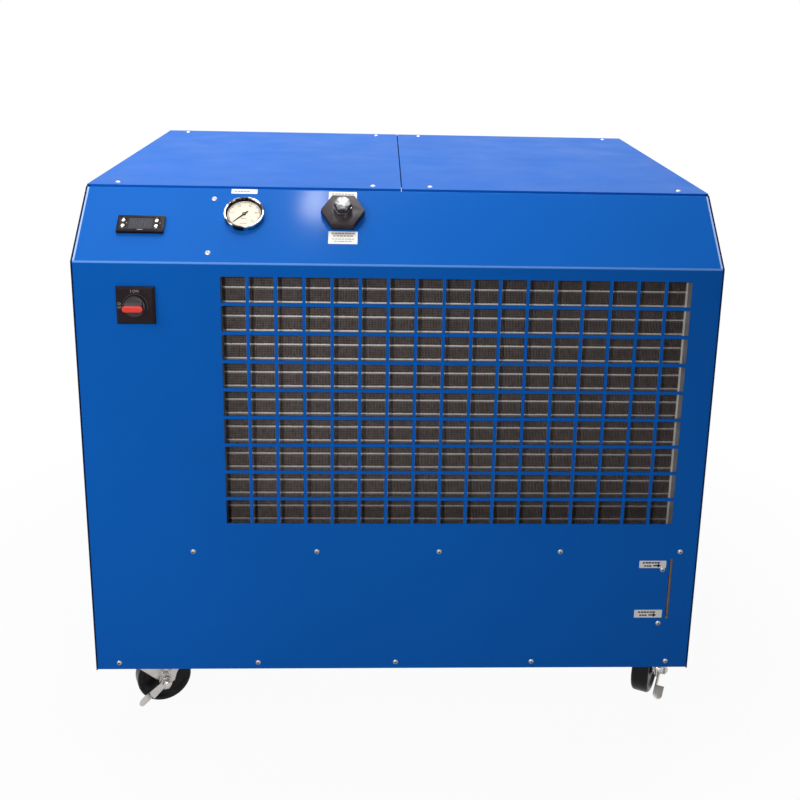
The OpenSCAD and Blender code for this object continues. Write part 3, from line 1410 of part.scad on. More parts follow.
module wheel(x, y, yaw, reach) {
  w = wheel_w/2;
  color(rubber) at_axle(x, y, yaw, reach) rotate_extrude()
    polygon(concat(
      [[axle_r + run_fit, w], [axle_r + run_fit, -w], [eye_r, -w], [eye_r + hub_dish, -w + hub_dish],
       [wheel_r*hub_face_share - hub_dish, -w + hub_dish], [wheel_r*hub_face_share, -w]],
      arc([wheel_r - tread_round, -w + tread_round], tread_round, -90, 0, arc_steps),
      arc([wheel_r - tread_round, w - tread_round], tread_round, 0, 90, arc_steps),
      [[wheel_r*hub_face_share, w], [wheel_r*hub_face_share - hub_dish, w - hub_dish],
       [eye_r + hub_dish, w - hub_dish], [eye_r, w]]));
}
module brake(x, y, yaw) {
  color(zinc) at_axle(x, y, yaw, trail) translate([0, 0, leg_out + seat]) difference() {
    union() {
      cylinder(r = eye_r, h = lever_t);
      cylinder(r = eye_r*hub_share, h = lever_t + lever_out);
      linear_extrude(arm_thick) polygon([for (p = cam_shares) eye_r*p]);
      box([-tab_w/2, -tab_low, 0], [tab_w/2, 0, arm_thick]);
      box([-tab_w/2, -tab_low, 0], [tab_w/2, tab_t - tab_low, tab_out]);
      translate([0, 0, lever_out]) rotate([0, 0, lever_fall]) {
        linear_extrude(arm_thick) polygon([[0, -arm_narrow/2], [0, arm_narrow/2], [-lever_l, arm_wide/2],
          [-lever_l - arm_thick, arm_wide/2], [-lever_l - arm_thick, -arm_wide/2], [-lever_l, -arm_wide/2]]);
        box([pad_w/2 - lever_l - pad_l, arm_wide/2 - arm_thick, 0], [-lever_l, arm_wide/2, pad_w]);
        translate([pad_w/2 - lever_l - pad_l, arm_wide/2, pad_w/2]) rotate([90, 0, 0])
          cylinder(r = pad_w/2, h = arm_thick);
      }
    }
    translate([0, 0, -eps]) cylinder(r = axle_r + run_fit, h = lever_t + lever_out + 2*eps);
  }
}
brake_outer = leg_out + lever_t + lever_out + seat;

base_pan();
front_panel();
side_panel(-1);  // left_side_panel
side_panel(1);  // right_side_panel
rear_panel();
lid(-1);  // left_lid
lid(1);  // right_lid
inner_frame();
mid_shelf();
button_head_screws();
cross_head_screws();
condenser_fins();
condenser_tubes();
condenser_end_plates();
fan_shroud();
fan_motor();
fan_rotor();
compressor();
compressor_grommets();
receiver_and_drier();
evaporator();
refrigerant_lines();
reservoir_tank();
sight_tube();
pump_casing();
pump_motor();
pump_rotor();
coolant_lines();
water_ports();
drain_valve();
drain_handle();
fill_bulkhead();
fill_bushing();
fill_seal();
fill_plug();
gauge_case();
gauge_dial();
gauge_needle();
gauge_lens();
controller_case();
ctrl_button(0, 0);  // upper_left_button
ctrl_button(0, 1);  // lower_left_button
ctrl_button(1, 0);  // upper_right_button
ctrl_button(1, 1);  // lower_right_button
switch_plate();
switch_knob();
switch_grip();
switchgear();
control_box();
cable_gland();
caster_plates();
fork(-caster_x, caster_in, left_yaw, trail, brake_outer);  // front_left_fork
fork(caster_x, caster_in, right_yaw, trail, brake_outer);  // front_right_fork
rear_forks();
wheel(-caster_x, caster_in, left_yaw, trail);  // front_left_wheel
wheel(caster_x, caster_in, right_yaw, trail);  // front_right_wheel
wheel(-caster_x, rear_caster_y, 90, 0);  // rear_left_wheel
wheel(caster_x, rear_caster_y, 90, 0);  // rear_right_wheel
brake(-caster_x, caster_in, left_yaw);  // front_left_brake
brake(caster_x, caster_in, right_yaw);  // front_right_brake
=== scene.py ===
# Looks of the air-cooled chiller, in metres, in the CAD frame.
import json
import math

import bmesh
import bpy
from mathutils import Matrix, Vector

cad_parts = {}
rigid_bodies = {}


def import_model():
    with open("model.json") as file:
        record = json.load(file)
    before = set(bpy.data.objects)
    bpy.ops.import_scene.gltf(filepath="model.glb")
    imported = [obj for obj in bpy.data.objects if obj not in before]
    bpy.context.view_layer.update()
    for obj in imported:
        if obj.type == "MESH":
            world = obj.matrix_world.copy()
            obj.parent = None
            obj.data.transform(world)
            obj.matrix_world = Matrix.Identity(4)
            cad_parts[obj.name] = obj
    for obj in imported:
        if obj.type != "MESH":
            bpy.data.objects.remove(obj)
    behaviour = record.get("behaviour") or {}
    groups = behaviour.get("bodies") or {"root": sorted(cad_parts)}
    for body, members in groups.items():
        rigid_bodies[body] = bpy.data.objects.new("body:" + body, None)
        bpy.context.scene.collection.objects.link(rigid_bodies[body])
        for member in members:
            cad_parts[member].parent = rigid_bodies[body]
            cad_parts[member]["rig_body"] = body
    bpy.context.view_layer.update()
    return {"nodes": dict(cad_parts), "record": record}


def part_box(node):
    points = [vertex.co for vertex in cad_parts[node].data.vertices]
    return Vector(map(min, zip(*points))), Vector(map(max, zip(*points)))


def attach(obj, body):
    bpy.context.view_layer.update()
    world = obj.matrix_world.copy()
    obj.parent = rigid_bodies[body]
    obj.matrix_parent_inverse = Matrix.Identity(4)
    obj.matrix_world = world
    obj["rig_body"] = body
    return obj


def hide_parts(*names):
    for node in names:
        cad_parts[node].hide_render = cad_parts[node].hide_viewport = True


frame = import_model()
MM = 0.001

# Sizes and places that the part's source gives, in metres
DECK = 0.130
FRONT_H = 0.750
SLOPE = math.atan2(0.104, 0.127)
CONTROLLER_S = 76*MM
GAUGE_S = 100.5*MM
TUBE_R = 4.8*MM
TUBE_PITCH = 25*MM
FRONT_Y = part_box("front_panel")[0].y
FRONT_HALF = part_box("front_panel")[1].x

# Height of the lowest painted highlight line on the fins, on the lit top of its tube
LINE_UP = 2.8*MM
FIRST_LINE_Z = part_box("condenser_tubes")[0].z + TUBE_R + LINE_UP


# Frames on the cabinet's faces, with local Z out of the face and local Y up it
def on_front(x, z, out=0.0):
    return Matrix.Translation((x, FRONT_Y - out, DECK + z)) @ Matrix.Rotation(math.pi/2, 4, "X")


def on_slope(x, s, out=0.0):
    foot = Matrix.Translation((x, FRONT_Y + s*math.cos(SLOPE), DECK + FRONT_H + s*math.sin(SLOPE)))
    return foot @ Matrix.Rotation(SLOPE, 4, "X") @ Matrix.Translation((0, 0, out))


def middle_x(node):
    low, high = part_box(node)
    return (low.x + high.x)/2


# Shader node helpers. A look drifts between two values of a noise, a mask is soft over a share
# of its half width, and a colour mix has its sockets at these places
NOISE_ROUGH = 0.55
DRIFT = (0.3, 0.7)
SOFT_SHARE = 0.25
MIX_BASE, MIX_OVER, MIX_RESULT = 6, 7, 2


def new_material(name):
    mat = bpy.data.materials.new(name)
    mat.use_nodes = True
    return mat, mat.node_tree, mat.node_tree.nodes["Principled BSDF"]


def put(node, values):
    """Set unlinked sockets by name."""
    for socket, value in values.items():
        node.inputs[socket].default_value = value


def feed(tree, node, sources):
    """Link sockets by name."""
    for socket, source in sources.items():
        tree.links.new(source, node.inputs[socket])


def coords(tree, scale=(1, 1, 1)):
    place = tree.nodes.new("ShaderNodeTexCoord")
    mapping = tree.nodes.new("ShaderNodeMapping")
    put(mapping, {"Scale": scale})
    feed(tree, mapping, {"Vector": place.outputs["Object"]})
    return mapping.outputs["Vector"]


def split_xyz(tree, vector):
    node = tree.nodes.new("ShaderNodeSeparateXYZ")
    feed(tree, node, {"Vector": vector})
    return node.outputs


def geometry(tree, output):
    """The X, Y and Z of the surface's Position or Normal."""
    node = tree.nodes.new("ShaderNodeNewGeometry")
    return split_xyz(tree, node.outputs[output])


def noise(tree, vector, scale, detail=4.0):
    node = tree.nodes.new("ShaderNodeTexNoise")
    put(node, {"Scale": scale, "Detail": detail, "Roughness": NOISE_ROUGH})
    feed(tree, node, {"Vector": vector})
    return node.outputs["Fac"]


def compute(tree, operation, one, other=None):
    """The result of a maths node on one or two values, each a socket or a number."""
    node = tree.nodes.new("ShaderNodeMath")
    node.operation = operation
    for place, value in zip(node.inputs, (one, other)):
        if isinstance(value, bpy.types.NodeSocket):
            tree.links.new(value, place)
        elif value is not None:
            place.default_value = value
    return node.outputs[0]


def span(tree, fac, low, high, start=0.0, end=1.0):
    """A value that goes from low to high while fac goes from start to end."""
    node = tree.nodes.new("ShaderNodeMapRange")
    put(node, {"From Min": start, "From Max": end, "To Min": low, "To Max": high})
    feed(tree, node, {"Value": fac})
    return node.outputs["Result"]


def ramp(tree, fac, stops):
    node = tree.nodes.new("ShaderNodeValToRGB")
    line = node.color_ramp
    while len(line.elements) < len(stops):
        line.elements.new(0.5)
    for element, (at, colour) in zip(line.elements, stops):
        element.position = at
        element.color = (*colour, 1)
    feed(tree, node, {"Fac": fac})
    return node.outputs["Color"]


def mottled(tree, fac, dark, light):
    """A colour that drifts between two others with a noise."""
    return ramp(tree, fac, list(zip(DRIFT, (dark, light))))


def roughness(tree, vector, scale, low, high):
    """A roughness that drifts between two values with a noise."""
    return span(tree, noise(tree, vector, scale), low, high, *DRIFT)


def shades(colour, low, high):
    return [tuple(c*low for c in colour), tuple(min(1, c*high) for c in colour)]


def within(tree, value, low, high):
    """1 where a value lies between two bounds, softened over a quarter of the width."""
    middle, half = (low + high)/2, (high - low)/2
    away = compute(tree, "ABSOLUTE", compute(tree, "SUBTRACT", value, middle))
    return span(tree, away, 1.0, 0.0, half*(1 - SOFT_SHARE), half*(1 + SOFT_SHARE))


def overlaid(tree, base, over, mask):
    """The base colour, with another colour, given as numbers or a socket, where the mask is 1."""
    mix = tree.nodes.new("ShaderNodeMix")
    mix.data_type = "RGBA"
    if isinstance(over, bpy.types.NodeSocket):
        tree.links.new(over, mix.inputs[MIX_OVER])
    else:
        mix.inputs[MIX_OVER].default_value = (*over, 1)
    tree.links.new(base, mix.inputs[MIX_BASE])
    feed(tree, mix, {"Factor": mask})
    return mix.outputs[MIX_RESULT]


def bump(tree, bsdf, height, strength, distance):
    node = tree.nodes.new("ShaderNodeBump")
    put(node, {"Strength": strength, "Distance": distance})
    feed(tree, node, {"Height": height})
    feed(tree, bsdf, {"Normal": node.outputs["Normal"]})


# Plain materials: a mottled colour, uneven gloss and, if asked for, a fine grain
WEAR_SCALE = 0.37
WEAR_DETAIL = 6.0
WEAR_DRIFT = (0.25, 0.75)
LEAST_ROUGH = 0.02
GRAIN_DETAIL = 2.0
COAT_ROUGH = 0.05


def surface(name, colour, rough, metallic=0.0, scale=60.0, spread=0.12, rough_spread=0.08,
            grain=None, coat=0.0, spec=0.5):
    """Scale is the mottle's; grain is the size, strength and depth of the bumps."""
    mat, tree, bsdf = new_material(name)
    vector = coords(tree)
    base = mottled(tree, noise(tree, vector, scale), *shades(colour, 1 - spread, 1 + spread))
    wear = noise(tree, vector, scale*WEAR_SCALE, WEAR_DETAIL)
    glossy, dull = max(LEAST_ROUGH, rough - rough_spread), rough + rough_spread
    feed(tree, bsdf, {"Base Color": base, "Roughness": span(tree, wear, glossy, dull, *WEAR_DRIFT)})
    put(bsdf, {"Metallic": metallic, "Coat Weight": coat, "Coat Roughness": COAT_ROUGH,
               "Specular IOR Level": spec})
    if grain:
        size, strength, distance = grain
        bump(tree, bsdf, noise(tree, vector, size, GRAIN_DETAIL), strength, distance)
    return mat


# Powder coat. On the front panel the pale slope side edges and bend are painted highlights; on a side
# panel the dark sheet edges are painted shade
PAINT_BLUE = (0.004, 0.125, 0.54)
PAINTED_EDGE_HIGHLIGHT_BLUE = (0.42, 0.58, 0.95)
PAINTED_BEND_HIGHLIGHT_BLUE = (0.14, 0.34, 0.85)
PAINTED_EDGE_SHADE_BLUE = (0.008, 0.012, 0.04)
RIM_IN, RIM_OUT = 2.8*MM, 1*MM
SLOPE_FACING_Z = (0.6, 0.92)
BEND_FACING_Z = (0.08, 0.7)
SHADED_EDGE_FACING_X = (-0.5, 0.5)
PAINT_GRAIN = (420.0, 0.06, 0.0004)


def paint(name, rim=None):
    """Blue powder coat; rim is the panel whose edges get painted light: front for painted highlights on
    the slope's side edges and bend, side for painted shade on the sheet edges.
    """
    mat, tree, bsdf = new_material(name)
    vector = coords(tree)
    broad = noise(tree, vector, scale=1.7, detail=3.0)
    colour = mottled(tree, broad, *shades(PAINT_BLUE, low=0.93, high=1.07))
    # The pale slope side edges and the pale bend are painted highlights in the base colour.
    if rim == "front":
        off_middle = compute(tree, "ABSOLUTE", geometry(tree, "Position")["X"])
        facing_z = geometry(tree, "Normal")["Z"]
        side = within(tree, off_middle, FRONT_HALF - RIM_IN, FRONT_HALF + RIM_OUT)
        slope_edge_highlight = compute(tree, "MULTIPLY", side, within(tree, facing_z, *SLOPE_FACING_Z))
        colour = overlaid(tree, colour, PAINTED_EDGE_HIGHLIGHT_BLUE, slope_edge_highlight)
        colour = overlaid(tree, colour, PAINTED_BEND_HIGHLIGHT_BLUE, within(tree, facing_z, *BEND_FACING_Z))
    # Faces that don't face sideways, the sheet edges, get painted shade: a dark blue in the base colour.
    if rim == "side":
        edge_shade = within(tree, geometry(tree, "Normal")["X"], *SHADED_EDGE_FACING_X)
        colour = overlaid(tree, colour, PAINTED_EDGE_SHADE_BLUE, edge_shade)
    feed(tree, bsdf, {"Base Color": colour,
                      "Roughness": roughness(tree, vector, scale=9.0, low=0.3, high=0.4)})
    put(bsdf, {"Specular IOR Level": 0.012, "Coat Weight": 0.04, "Coat Roughness": 0.11})
    size, strength, distance = PAINT_GRAIN
    bump(tree, bsdf, noise(tree, vector, size, GRAIN_DETAIL), strength, distance)
    return mat


SPANGLE_STOPS = ((0.2, (0.36, 0.37, 0.38)), (0.8, (0.58, 0.59, 0.6)))


def galvanised(name):
    """Zinc spangle in cells of two greys."""
    mat, tree, bsdf = new_material(name)
    vector = coords(tree)
    cells = tree.nodes.new("ShaderNodeTexVoronoi")
    put(cells, {"Scale": 95.0})
    feed(tree, cells, {"Vector": vector})
    feed(tree, bsdf, {"Base Color": ramp(tree, cells.outputs["Color"], SPANGLE_STOPS),
                      "Roughness": roughness(tree, vector, scale=30.0, low=0.34, high=0.52)})
    put(bsdf, {"Metallic": 0.85})
    return mat


# End plates of the coil, with a painted highlight in a narrow strip beside the fins
STRIP_IN, STRIP_OUT = 1*MM, 2.6*MM
PAINTED_HIGHLIGHT_STRIP_COLOUR = (1.0, 0.95, 0.82)
PLATE_DARK, PLATE_LIGHT = (0.28, 0.265, 0.27), (0.4, 0.38, 0.38)


def end_plate(name):
    mat, tree, bsdf = new_material(name)
    vector = coords(tree)
    grey = mottled(tree, noise(tree, vector, scale=60.0), PLATE_DARK, PLATE_LIGHT)
    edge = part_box("condenser_fins")[1].x
    # The strip is a painted highlight, a near-white in the base colour.
    strip = within(tree, geometry(tree, "Position")["X"], edge - STRIP_IN, edge + STRIP_OUT)
    feed(tree, bsdf, {"Base Color": overlaid(tree, grey, PAINTED_HIGHLIGHT_STRIP_COLOUR, strip),
                      "Roughness": roughness(tree, vector, scale=30.0, low=0.34, high=0.52)})
    put(bsdf, {"Metallic": 0.2})
    return mat


# Painted shade that stands for the screws' recesses
PAINTED_RECESS_SHADE = (0.04, 0.034, 0.03)


def screw_metal(name, colour, recess_y):
    """Zinc with a recess shown by painted shade, a dark colour on the faces found by the bounds of their
    Y direction.
    """
    mat, tree, bsdf = new_material(name)
    vector = coords(tree)
    base = mottled(tree, noise(tree, vector, scale=300.0), *shades(colour, low=0.88, high=1.1))
    recess = within(tree, geometry(tree, "Normal")["Y"], *recess_y)
    feed(tree, bsdf, {"Base Color": overlaid(tree, base, PAINTED_RECESS_SHADE, recess),
                      "Roughness": roughness(tree, vector, scale=90.0, low=0.25, high=0.4)})
    put(bsdf, {"Metallic": 0.85})
    return mat


# Fins from one tube up to the next: how much of the painted highlight line and its dimmer painted
# tail shows at each share of the pitch, how ragged the line is, and the painted shade of the corrugation
HIGHLIGHT_LEVELS = ((0.0, 1.0), (0.042, 1.0), (0.052, 0.0), (0.8, 0.0), (0.86, 0.2), (0.948, 0.2),
               (0.958, 1.0), (1.0, 1.0))
JAG = 0.5*MM
JAG_SCALE = (900, 60, 60)
JAG_NOISE = (0.2, 0.8)
HIGHLIGHT_DARK, HIGHLIGHT_LIGHT = (0.8, 0.75, 0.69), (1.0, 0.97, 0.92)
RIPPLES = 6
RIPPLE_DEPTH = 0.16
DULL_STOPS = ((0.25, (0.12, 0.096, 0.086)), (0.75, (0.27, 0.22, 0.2)))


def fin_metal(name):
    """Dark fins with a painted highlight line on each tube's lit top and a dimmer painted tail under it,
    painted darker to the right and towards the bottom, with painted shade bands of the corrugation.
    """
    mat, tree, bsdf = new_material(name)
    vector = coords(tree)
    place = split_xyz(tree, vector)
    jag = noise(tree, coords(tree, JAG_SCALE), scale=1.0, detail=3.0)
    line_z = span(tree, jag, FIRST_LINE_Z - JAG, FIRST_LINE_Z + JAG, *JAG_NOISE)
    pitches = compute(tree, "DIVIDE", compute(tree, "SUBTRACT", place["Z"], line_z), TUBE_PITCH)
    share = compute(tree, "FLOORED_MODULO", pitches, 1.0)
    level = ramp(tree, share, [(at, (value, value, value)) for at, value in HIGHLIGHT_LEVELS])
    # Painted shade: the lines are darker to the right and towards the bottom.
    shade_to_right = span(tree, place["X"], low=1.0, high=0.6, start=-0.1, end=0.5)
    shade_to_bottom = span(tree, place["Z"], low=0.45, high=1.0, start=0.4, end=0.72)
    line = compute(tree, "MULTIPLY", level, compute(tree, "MULTIPLY", shade_to_right, shade_to_bottom))
    # Painted shade of the fins' corrugation, six bands in each pitch.
    wave = compute(tree, "SINE", compute(tree, "MULTIPLY", share, 2*math.pi*RIPPLES))
    ripple_shade = span(tree, wave, -RIPPLE_DEPTH, RIPPLE_DEPTH, start=-1.0, end=1.0)
    dust = noise(tree, vector, scale=160.0, detail=5.0)
    dull = ramp(tree, compute(tree, "ADD", ripple_shade, dust), DULL_STOPS)
    bright = mottled(tree, jag, HIGHLIGHT_DARK, HIGHLIGHT_LIGHT)
    feed(tree, bsdf, {"Base Color": overlaid(tree, dull, bright, line),
                      "Metallic": span(tree, line, low=0.0, high=0.15),
                      "Roughness": span(tree, dust, 0.3, 0.5, *DRIFT)})
    put(bsdf, {"Specular IOR Level": 0.15})
    return mat


PAINTED_REFLECTION_STOPS = ((0.44, (0.035, 0.03, 0.032)), (0.6, (0.75, 0.74, 0.72)))


def chrome(name):
    """Polished rim with painted reflections: dark and bright places in turn in its colour."""
    mat, tree, bsdf = new_material(name)
    vector = coords(tree)
    painted_reflections = ramp(tree, noise(tree, vector, scale=55.0, detail=2.0), PAINTED_REFLECTION_STOPS)
    feed(tree, bsdf, {"Base Color": painted_reflections,
                      "Roughness": roughness(tree, vector, scale=30.0, low=0.1, high=0.18)})
    put(bsdf, {"Metallic": 1.0})
    return mat


CLEAR_TINT = (0.98, 0.99, 0.98)


def clear(name):
    """See-through plastic and glass that hardly bend the light."""
    mat, tree, bsdf = new_material(name)
    haze = noise(tree, coords(tree), scale=80.0)
    feed(tree, bsdf, {"Base Color": mottled(tree, haze, *shades(CLEAR_TINT, low=0.96, high=1.0)),
                      "Roughness": span(tree, haze, 0.02, 0.04, *DRIFT)})
    put(bsdf, {"Transmission Weight": 1.0, "IOR": 1.02, "Specular IOR Level": 0.1})
    return mat


MATERIALS = {
    "paint": paint("blue_powder_coat"),
    "front_paint": paint("front_powder_coat_painted_highlights", "front"),
    "side_paint": paint("side_powder_coat_painted_edge_shade", "side"),
    "galvanised": galvanised("galvanised_sheet"),
    "zinc": surface("bright_zinc", (0.54, 0.52, 0.505), rough=0.3, metallic=0.9, scale=90.0, spread=0.1,
                    rough_spread=0.1, grain=(400.0, 0.08, 0.0004)),
    "fins": fin_metal("fins_painted_highlights_and_shade"),
    "end_plate": end_plate("coil_end_plate_painted_highlight"),
    "button_screw": screw_metal("button_screw_zinc_painted_recess_shade", (0.4, 0.385, 0.37), (-1.1, -0.95)),
    "cross_screw": screw_metal("cross_screw_zinc_painted_recess_shade", (0.7, 0.68, 0.66), (-0.66, -0.6)),
    "copper": surface("drawn_copper", (0.62, 0.3, 0.17), rough=0.3, metallic=1.0, scale=40.0, spread=0.2,
                      rough_spread=0.1),
    "aluminium": surface("satin_aluminium", (0.55, 0.55, 0.56), rough=0.35, metallic=1.0, scale=50.0,
                         spread=0.08),
    "black_paint": surface("black_paint", (0.018, 0.018, 0.02), rough=0.36, scale=30.0, spread=0.2,
                           grain=(180.0, 0.12, 0.0006)),
    "soft_rubber": surface("soft_rubber", (0.02, 0.02, 0.02), rough=0.62, scale=80.0, spread=0.2,
                           grain=(300.0, 0.15, 0.0005)),
    "stainless": surface("stainless", (0.5, 0.49, 0.48), rough=0.26, metallic=1.0, spread=0.08,
                         grain=(500.0, 0.05, 0.0003)),
    "tank": surface("tank_plastic", (0.72, 0.7, 0.62), rough=0.45, scale=20.0, spread=0.06,
                    rough_spread=0.06, grain=(120.0, 0.1, 0.0006)),
    "clear": clear("clear_glass"),
    "sight": surface("sight_tube_plastic", (0.45, 0.31, 0.27), rough=0.25, spread=0.2, rough_spread=0.05,
                     coat=0.2),
    "casting": surface("painted_casting", (0.02, 0.1, 0.06), rough=0.5, scale=40.0, spread=0.15,
                       grain=(90.0, 0.3, 0.001)),
    "brass": surface("machined_brass", (0.6, 0.42, 0.18), rough=0.28, metallic=1.0, scale=50.0),
    "red_vinyl": surface("red_vinyl", (0.5, 0.012, 0.012), rough=0.35, scale=50.0, spread=0.1,
                         rough_spread=0.06),
    "filler": surface("filler_black", (0.028, 0.019, 0.022), rough=0.42, scale=70.0, spread=0.25,
                      rough_spread=0.1, grain=(260.0, 0.15, 0.0005), spec=0.3),
    "chrome": chrome("chrome_painted_reflections"),
    "button": surface("button_metal", (0.8, 0.79, 0.77), rough=0.2, metallic=1.0, spread=0.05,
                      rough_spread=0.05),
    "plug": surface("plug_metal", (0.17, 0.17, 0.17), rough=0.34, metallic=0.9, scale=170.0, spread=0.7,
                    rough_spread=0.1, grain=(300.0, 0.3, 0.001)),
    "dial": surface("dial_cream", (0.78, 0.69, 0.58), rough=0.5, scale=50.0, spread=0.03,
                    rough_spread=0.05),
    "ink": surface("black_ink", (0.012, 0.011, 0.013), rough=0.5, scale=90.0, spread=0.2,
                   rough_spread=0.05, spec=0.1),
    "pale_ink": surface("pale_ink", (0.34, 0.28, 0.24), rough=0.5, scale=90.0, spread=0.1,
                        rough_spread=0.05, spec=0.1),
    "black_plastic": surface("black_plastic", (0.016, 0.009, 0.011), rough=0.33, scale=80.0, spread=0.2,
                             grain=(420.0, 0.1, 0.0004), spec=0.12),
    "knob": surface("knob_plastic", (0.034, 0.027, 0.028), rough=0.42, scale=90.0, spread=0.2,
                    grain=(380.0, 0.15, 0.0004), spec=0.35),
    "red": surface("switch_red", (0.8, 0.035, 0.022), rough=0.33, scale=70.0, spread=0.08,
                   rough_spread=0.06, grain=(320.0, 0.06, 0.0003)),
    "grey": surface("device_grey", (0.5, 0.5, 0.47), rough=0.5, spread=0.06, rough_spread=0.06),
    "tyre": surface("wheel_rubber", (0.01, 0.009, 0.01), rough=0.3, scale=70.0, spread=0.25,
                    rough_spread=0.12, grain=(160.0, 0.12, 0.0006), spec=0.14),
    "label": surface("label_white", (0.88, 0.87, 0.84), rough=0.42, scale=50.0, spread=0.02,
                     rough_spread=0.05),
    "print": surface("switch_print", (0.4, 0.38, 0.36), rough=0.5, scale=80.0, spread=0.06,
                     rough_spread=0.05),
    "faint": surface("faint_print", (0.11, 0.095, 0.1), rough=0.5, scale=80.0, spread=0.1,
                     rough_spread=0.05, spec=0.2),
    "window": surface("display_window", (0.018, 0.018, 0.024), rough=0.2, spread=0.2, rough_spread=0.05,
                      spec=0.2),
    "segment": surface("display_segment", (0.045, 0.052, 0.085), rough=0.4, spread=0.1,
                       rough_spread=0.05, spec=0.2),
}
SLOT_LOOKS = {
    "cabinet_paint": "paint", "galvanised": "galvanised", "zinc": "zinc", "fins": "fins",
    "copper": "copper", "fan_metal": "aluminium", "black_paint": "black_paint",
    "grommet_rubber": "soft_rubber", "stainless": "stainless", "tank_plastic": "tank",
    "clear_tube": "clear", "pump_paint": "casting", "bronze": "brass", "drain_grip": "red_vinyl",
    "filler_black": "filler", "gauge_chrome": "chrome", "dial_face": "dial", "needle_black": "ink",
    "black_plastic": "black_plastic", "knob_plastic": "knob", "switch_red": "red",
    "button_metal": "button", "device_grey": "grey", "wheel_rubber": "tyre",
}
OWN_LOOKS = {
    "sight_tube": "sight", "fill_plug": "plug", "front_panel": "front_paint",
    "condenser_end_plates": "end_plate", "button_head_screws": "button_screw",
    "cross_head_screws": "cross_screw", "left_side_panel": "side_paint",
    "right_side_panel": "side_paint",
}
NODE_SLOT = {part["node"]: part["material_slot"] for part in frame["record"]["subparts"]}


def look_of(node):
    """A node's own look, or else the look of its slot."""
    return OWN_LOOKS.get(node, SLOT_LOOKS[NODE_SLOT[node]])


def dress_frame():
    for name, obj in frame["nodes"].items():
        look = MATERIALS[look_of(name)]
        if not obj.material_slots:
            obj.data.materials.append(look)
        for place in obj.material_slots:
            place.material = look


# Mesh helpers
def make_object(name, bm, looks, body, matrix=None):
    mesh = bpy.data.meshes.new(name)
    bm.to_mesh(mesh)
    bm.free()
    obj = bpy.data.objects.new(name, mesh)
    bpy.context.scene.collection.objects.link(obj)
    for look in looks:
        mesh.materials.append(MATERIALS[look])
    if matrix is not None:
        obj.matrix_world = matrix
    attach(obj, body)
    return obj


def prism(bm, outline, low, high, mat=0):
    """A straight prism over a convex outline."""
    bottom = [bm.verts.new((x, y, low)) for x, y in outline]
    top = [bm.verts.new((x, y, high)) for x, y in outline]
    faces = [bm.faces.new(list(reversed(bottom))), bm.faces.new(top)]
    for i in range(len(outline)):
        j = (i + 1) % len(outline)
        faces.append(bm.faces.new((bottom[i], bottom[j], top[j], top[i])))
    for face in faces:
        face.material_index = mat


CORNER_STEPS = 4


def rectangle(w, h, cx=0.0, cy=0.0, r=0.0):
    """The outline of a rectangle about a point, with rounded corners if r is given."""
    if not r:
        return [(cx - w/2, cy - h/2), (cx + w/2, cy - h/2), (cx + w/2, cy + h/2), (cx - w/2, cy + h/2)]
    points = []
    for i, (sx, sy) in enumerate(((1, 1), (-1, 1), (-1, -1), (1, -1))):
        for k in range(CORNER_STEPS + 1):
            a = math.pi/2*(i + k/CORNER_STEPS)
            points.append((cx + sx*(w/2 - r) + r*math.cos(a), cy + sy*(h/2 - r) + r*math.sin(a)))
    return points


def disc(r, cx, cy, steps):
    turns = [2*math.pi*k/steps for k in range(steps)]
    return [(cx + r*math.cos(a), cy + r*math.sin(a)) for a in turns]


def ring(bm, radii, heights, mat, steps, start=0.0, end=2*math.pi):
    """A flat ring between two radii and two heights, or an arc of one."""
    closed = end - start > 2*math.pi - 1e-6
    count = steps if closed else steps + 1
    turns = [start + (end - start)*k/steps for k in range(count)]
    (r_in, r_out), (low, high) = radii, heights
    loops = []
    for r, z in ((r_in, low), (r_out, low), (r_out, high), (r_in, high)):
        loops.append([bm.verts.new((r*math.cos(a), r*math.sin(a), z)) for a in turns])
    for a, b in zip(loops, loops[1:] + loops[:1]):
        for k in range(steps):
            n = (k + 1) % count
            bm.faces.new((a[k], a[n], b[n], b[k])).material_index = mat
    if not closed:
        bm.faces.new([loop[0] for loop in loops]).material_index = mat
        bm.faces.new([loop[-1] for loop in reversed(loops)]).material_index = mat


# Thickness of printed marks
INK_T = 0.05*MM
LETTER_CURVE_STEPS = 2


def letters(bm, words, size, cx, cy):
    """Printed generic lettering in the first look, centred on a point of the local face."""
    curve = bpy.data.curves.new("letters", "FONT")
    curve.body = words
    curve.size = size
    curve.align_x = "CENTER"
    curve.align_y = "CENTER"
    curve.extrude = INK_T/2
    curve.resolution_u = LETTER_CURVE_STEPS
    obj = bpy.data.objects.new("letters", curve)
    bpy.context.scene.collection.objects.link(obj)
    mesh = bpy.data.meshes.new_from_object(obj.evaluated_get(bpy.context.evaluated_depsgraph_get()))
    mesh.transform(Matrix.Translation((cx, cy, INK_T/2)))
    bm.from_mesh(mesh)
    bpy.data.objects.remove(obj)
    bpy.data.curves.remove(curve)
    bpy.data.meshes.remove(mesh)


# CAD pieces shown with rounded edges, with the width of the rounding in mm
ROUNDINGS = {
    "fill_bulkhead": 1.2, "fill_plug": 0.8, "fill_bushing": 0.5, "switch_plate": 0.8,
    "switch_knob": 1.2, "switch_grip": 1.4, "controller_case": 0.8, "gauge_case": 0.9,
    "front_left_fork": 0.7, "front_right_fork": 0.7, "rear_forks": 0.7,
    "front_left_brake": 0.7, "front_right_brake": 0.7,
}
ROUNDING_SEGMENTS = 2
SHARP_ANGLE = math.radians(30.0)
FLAT_ANGLE = math.radians(1.0)
WELD = 0.002*MM


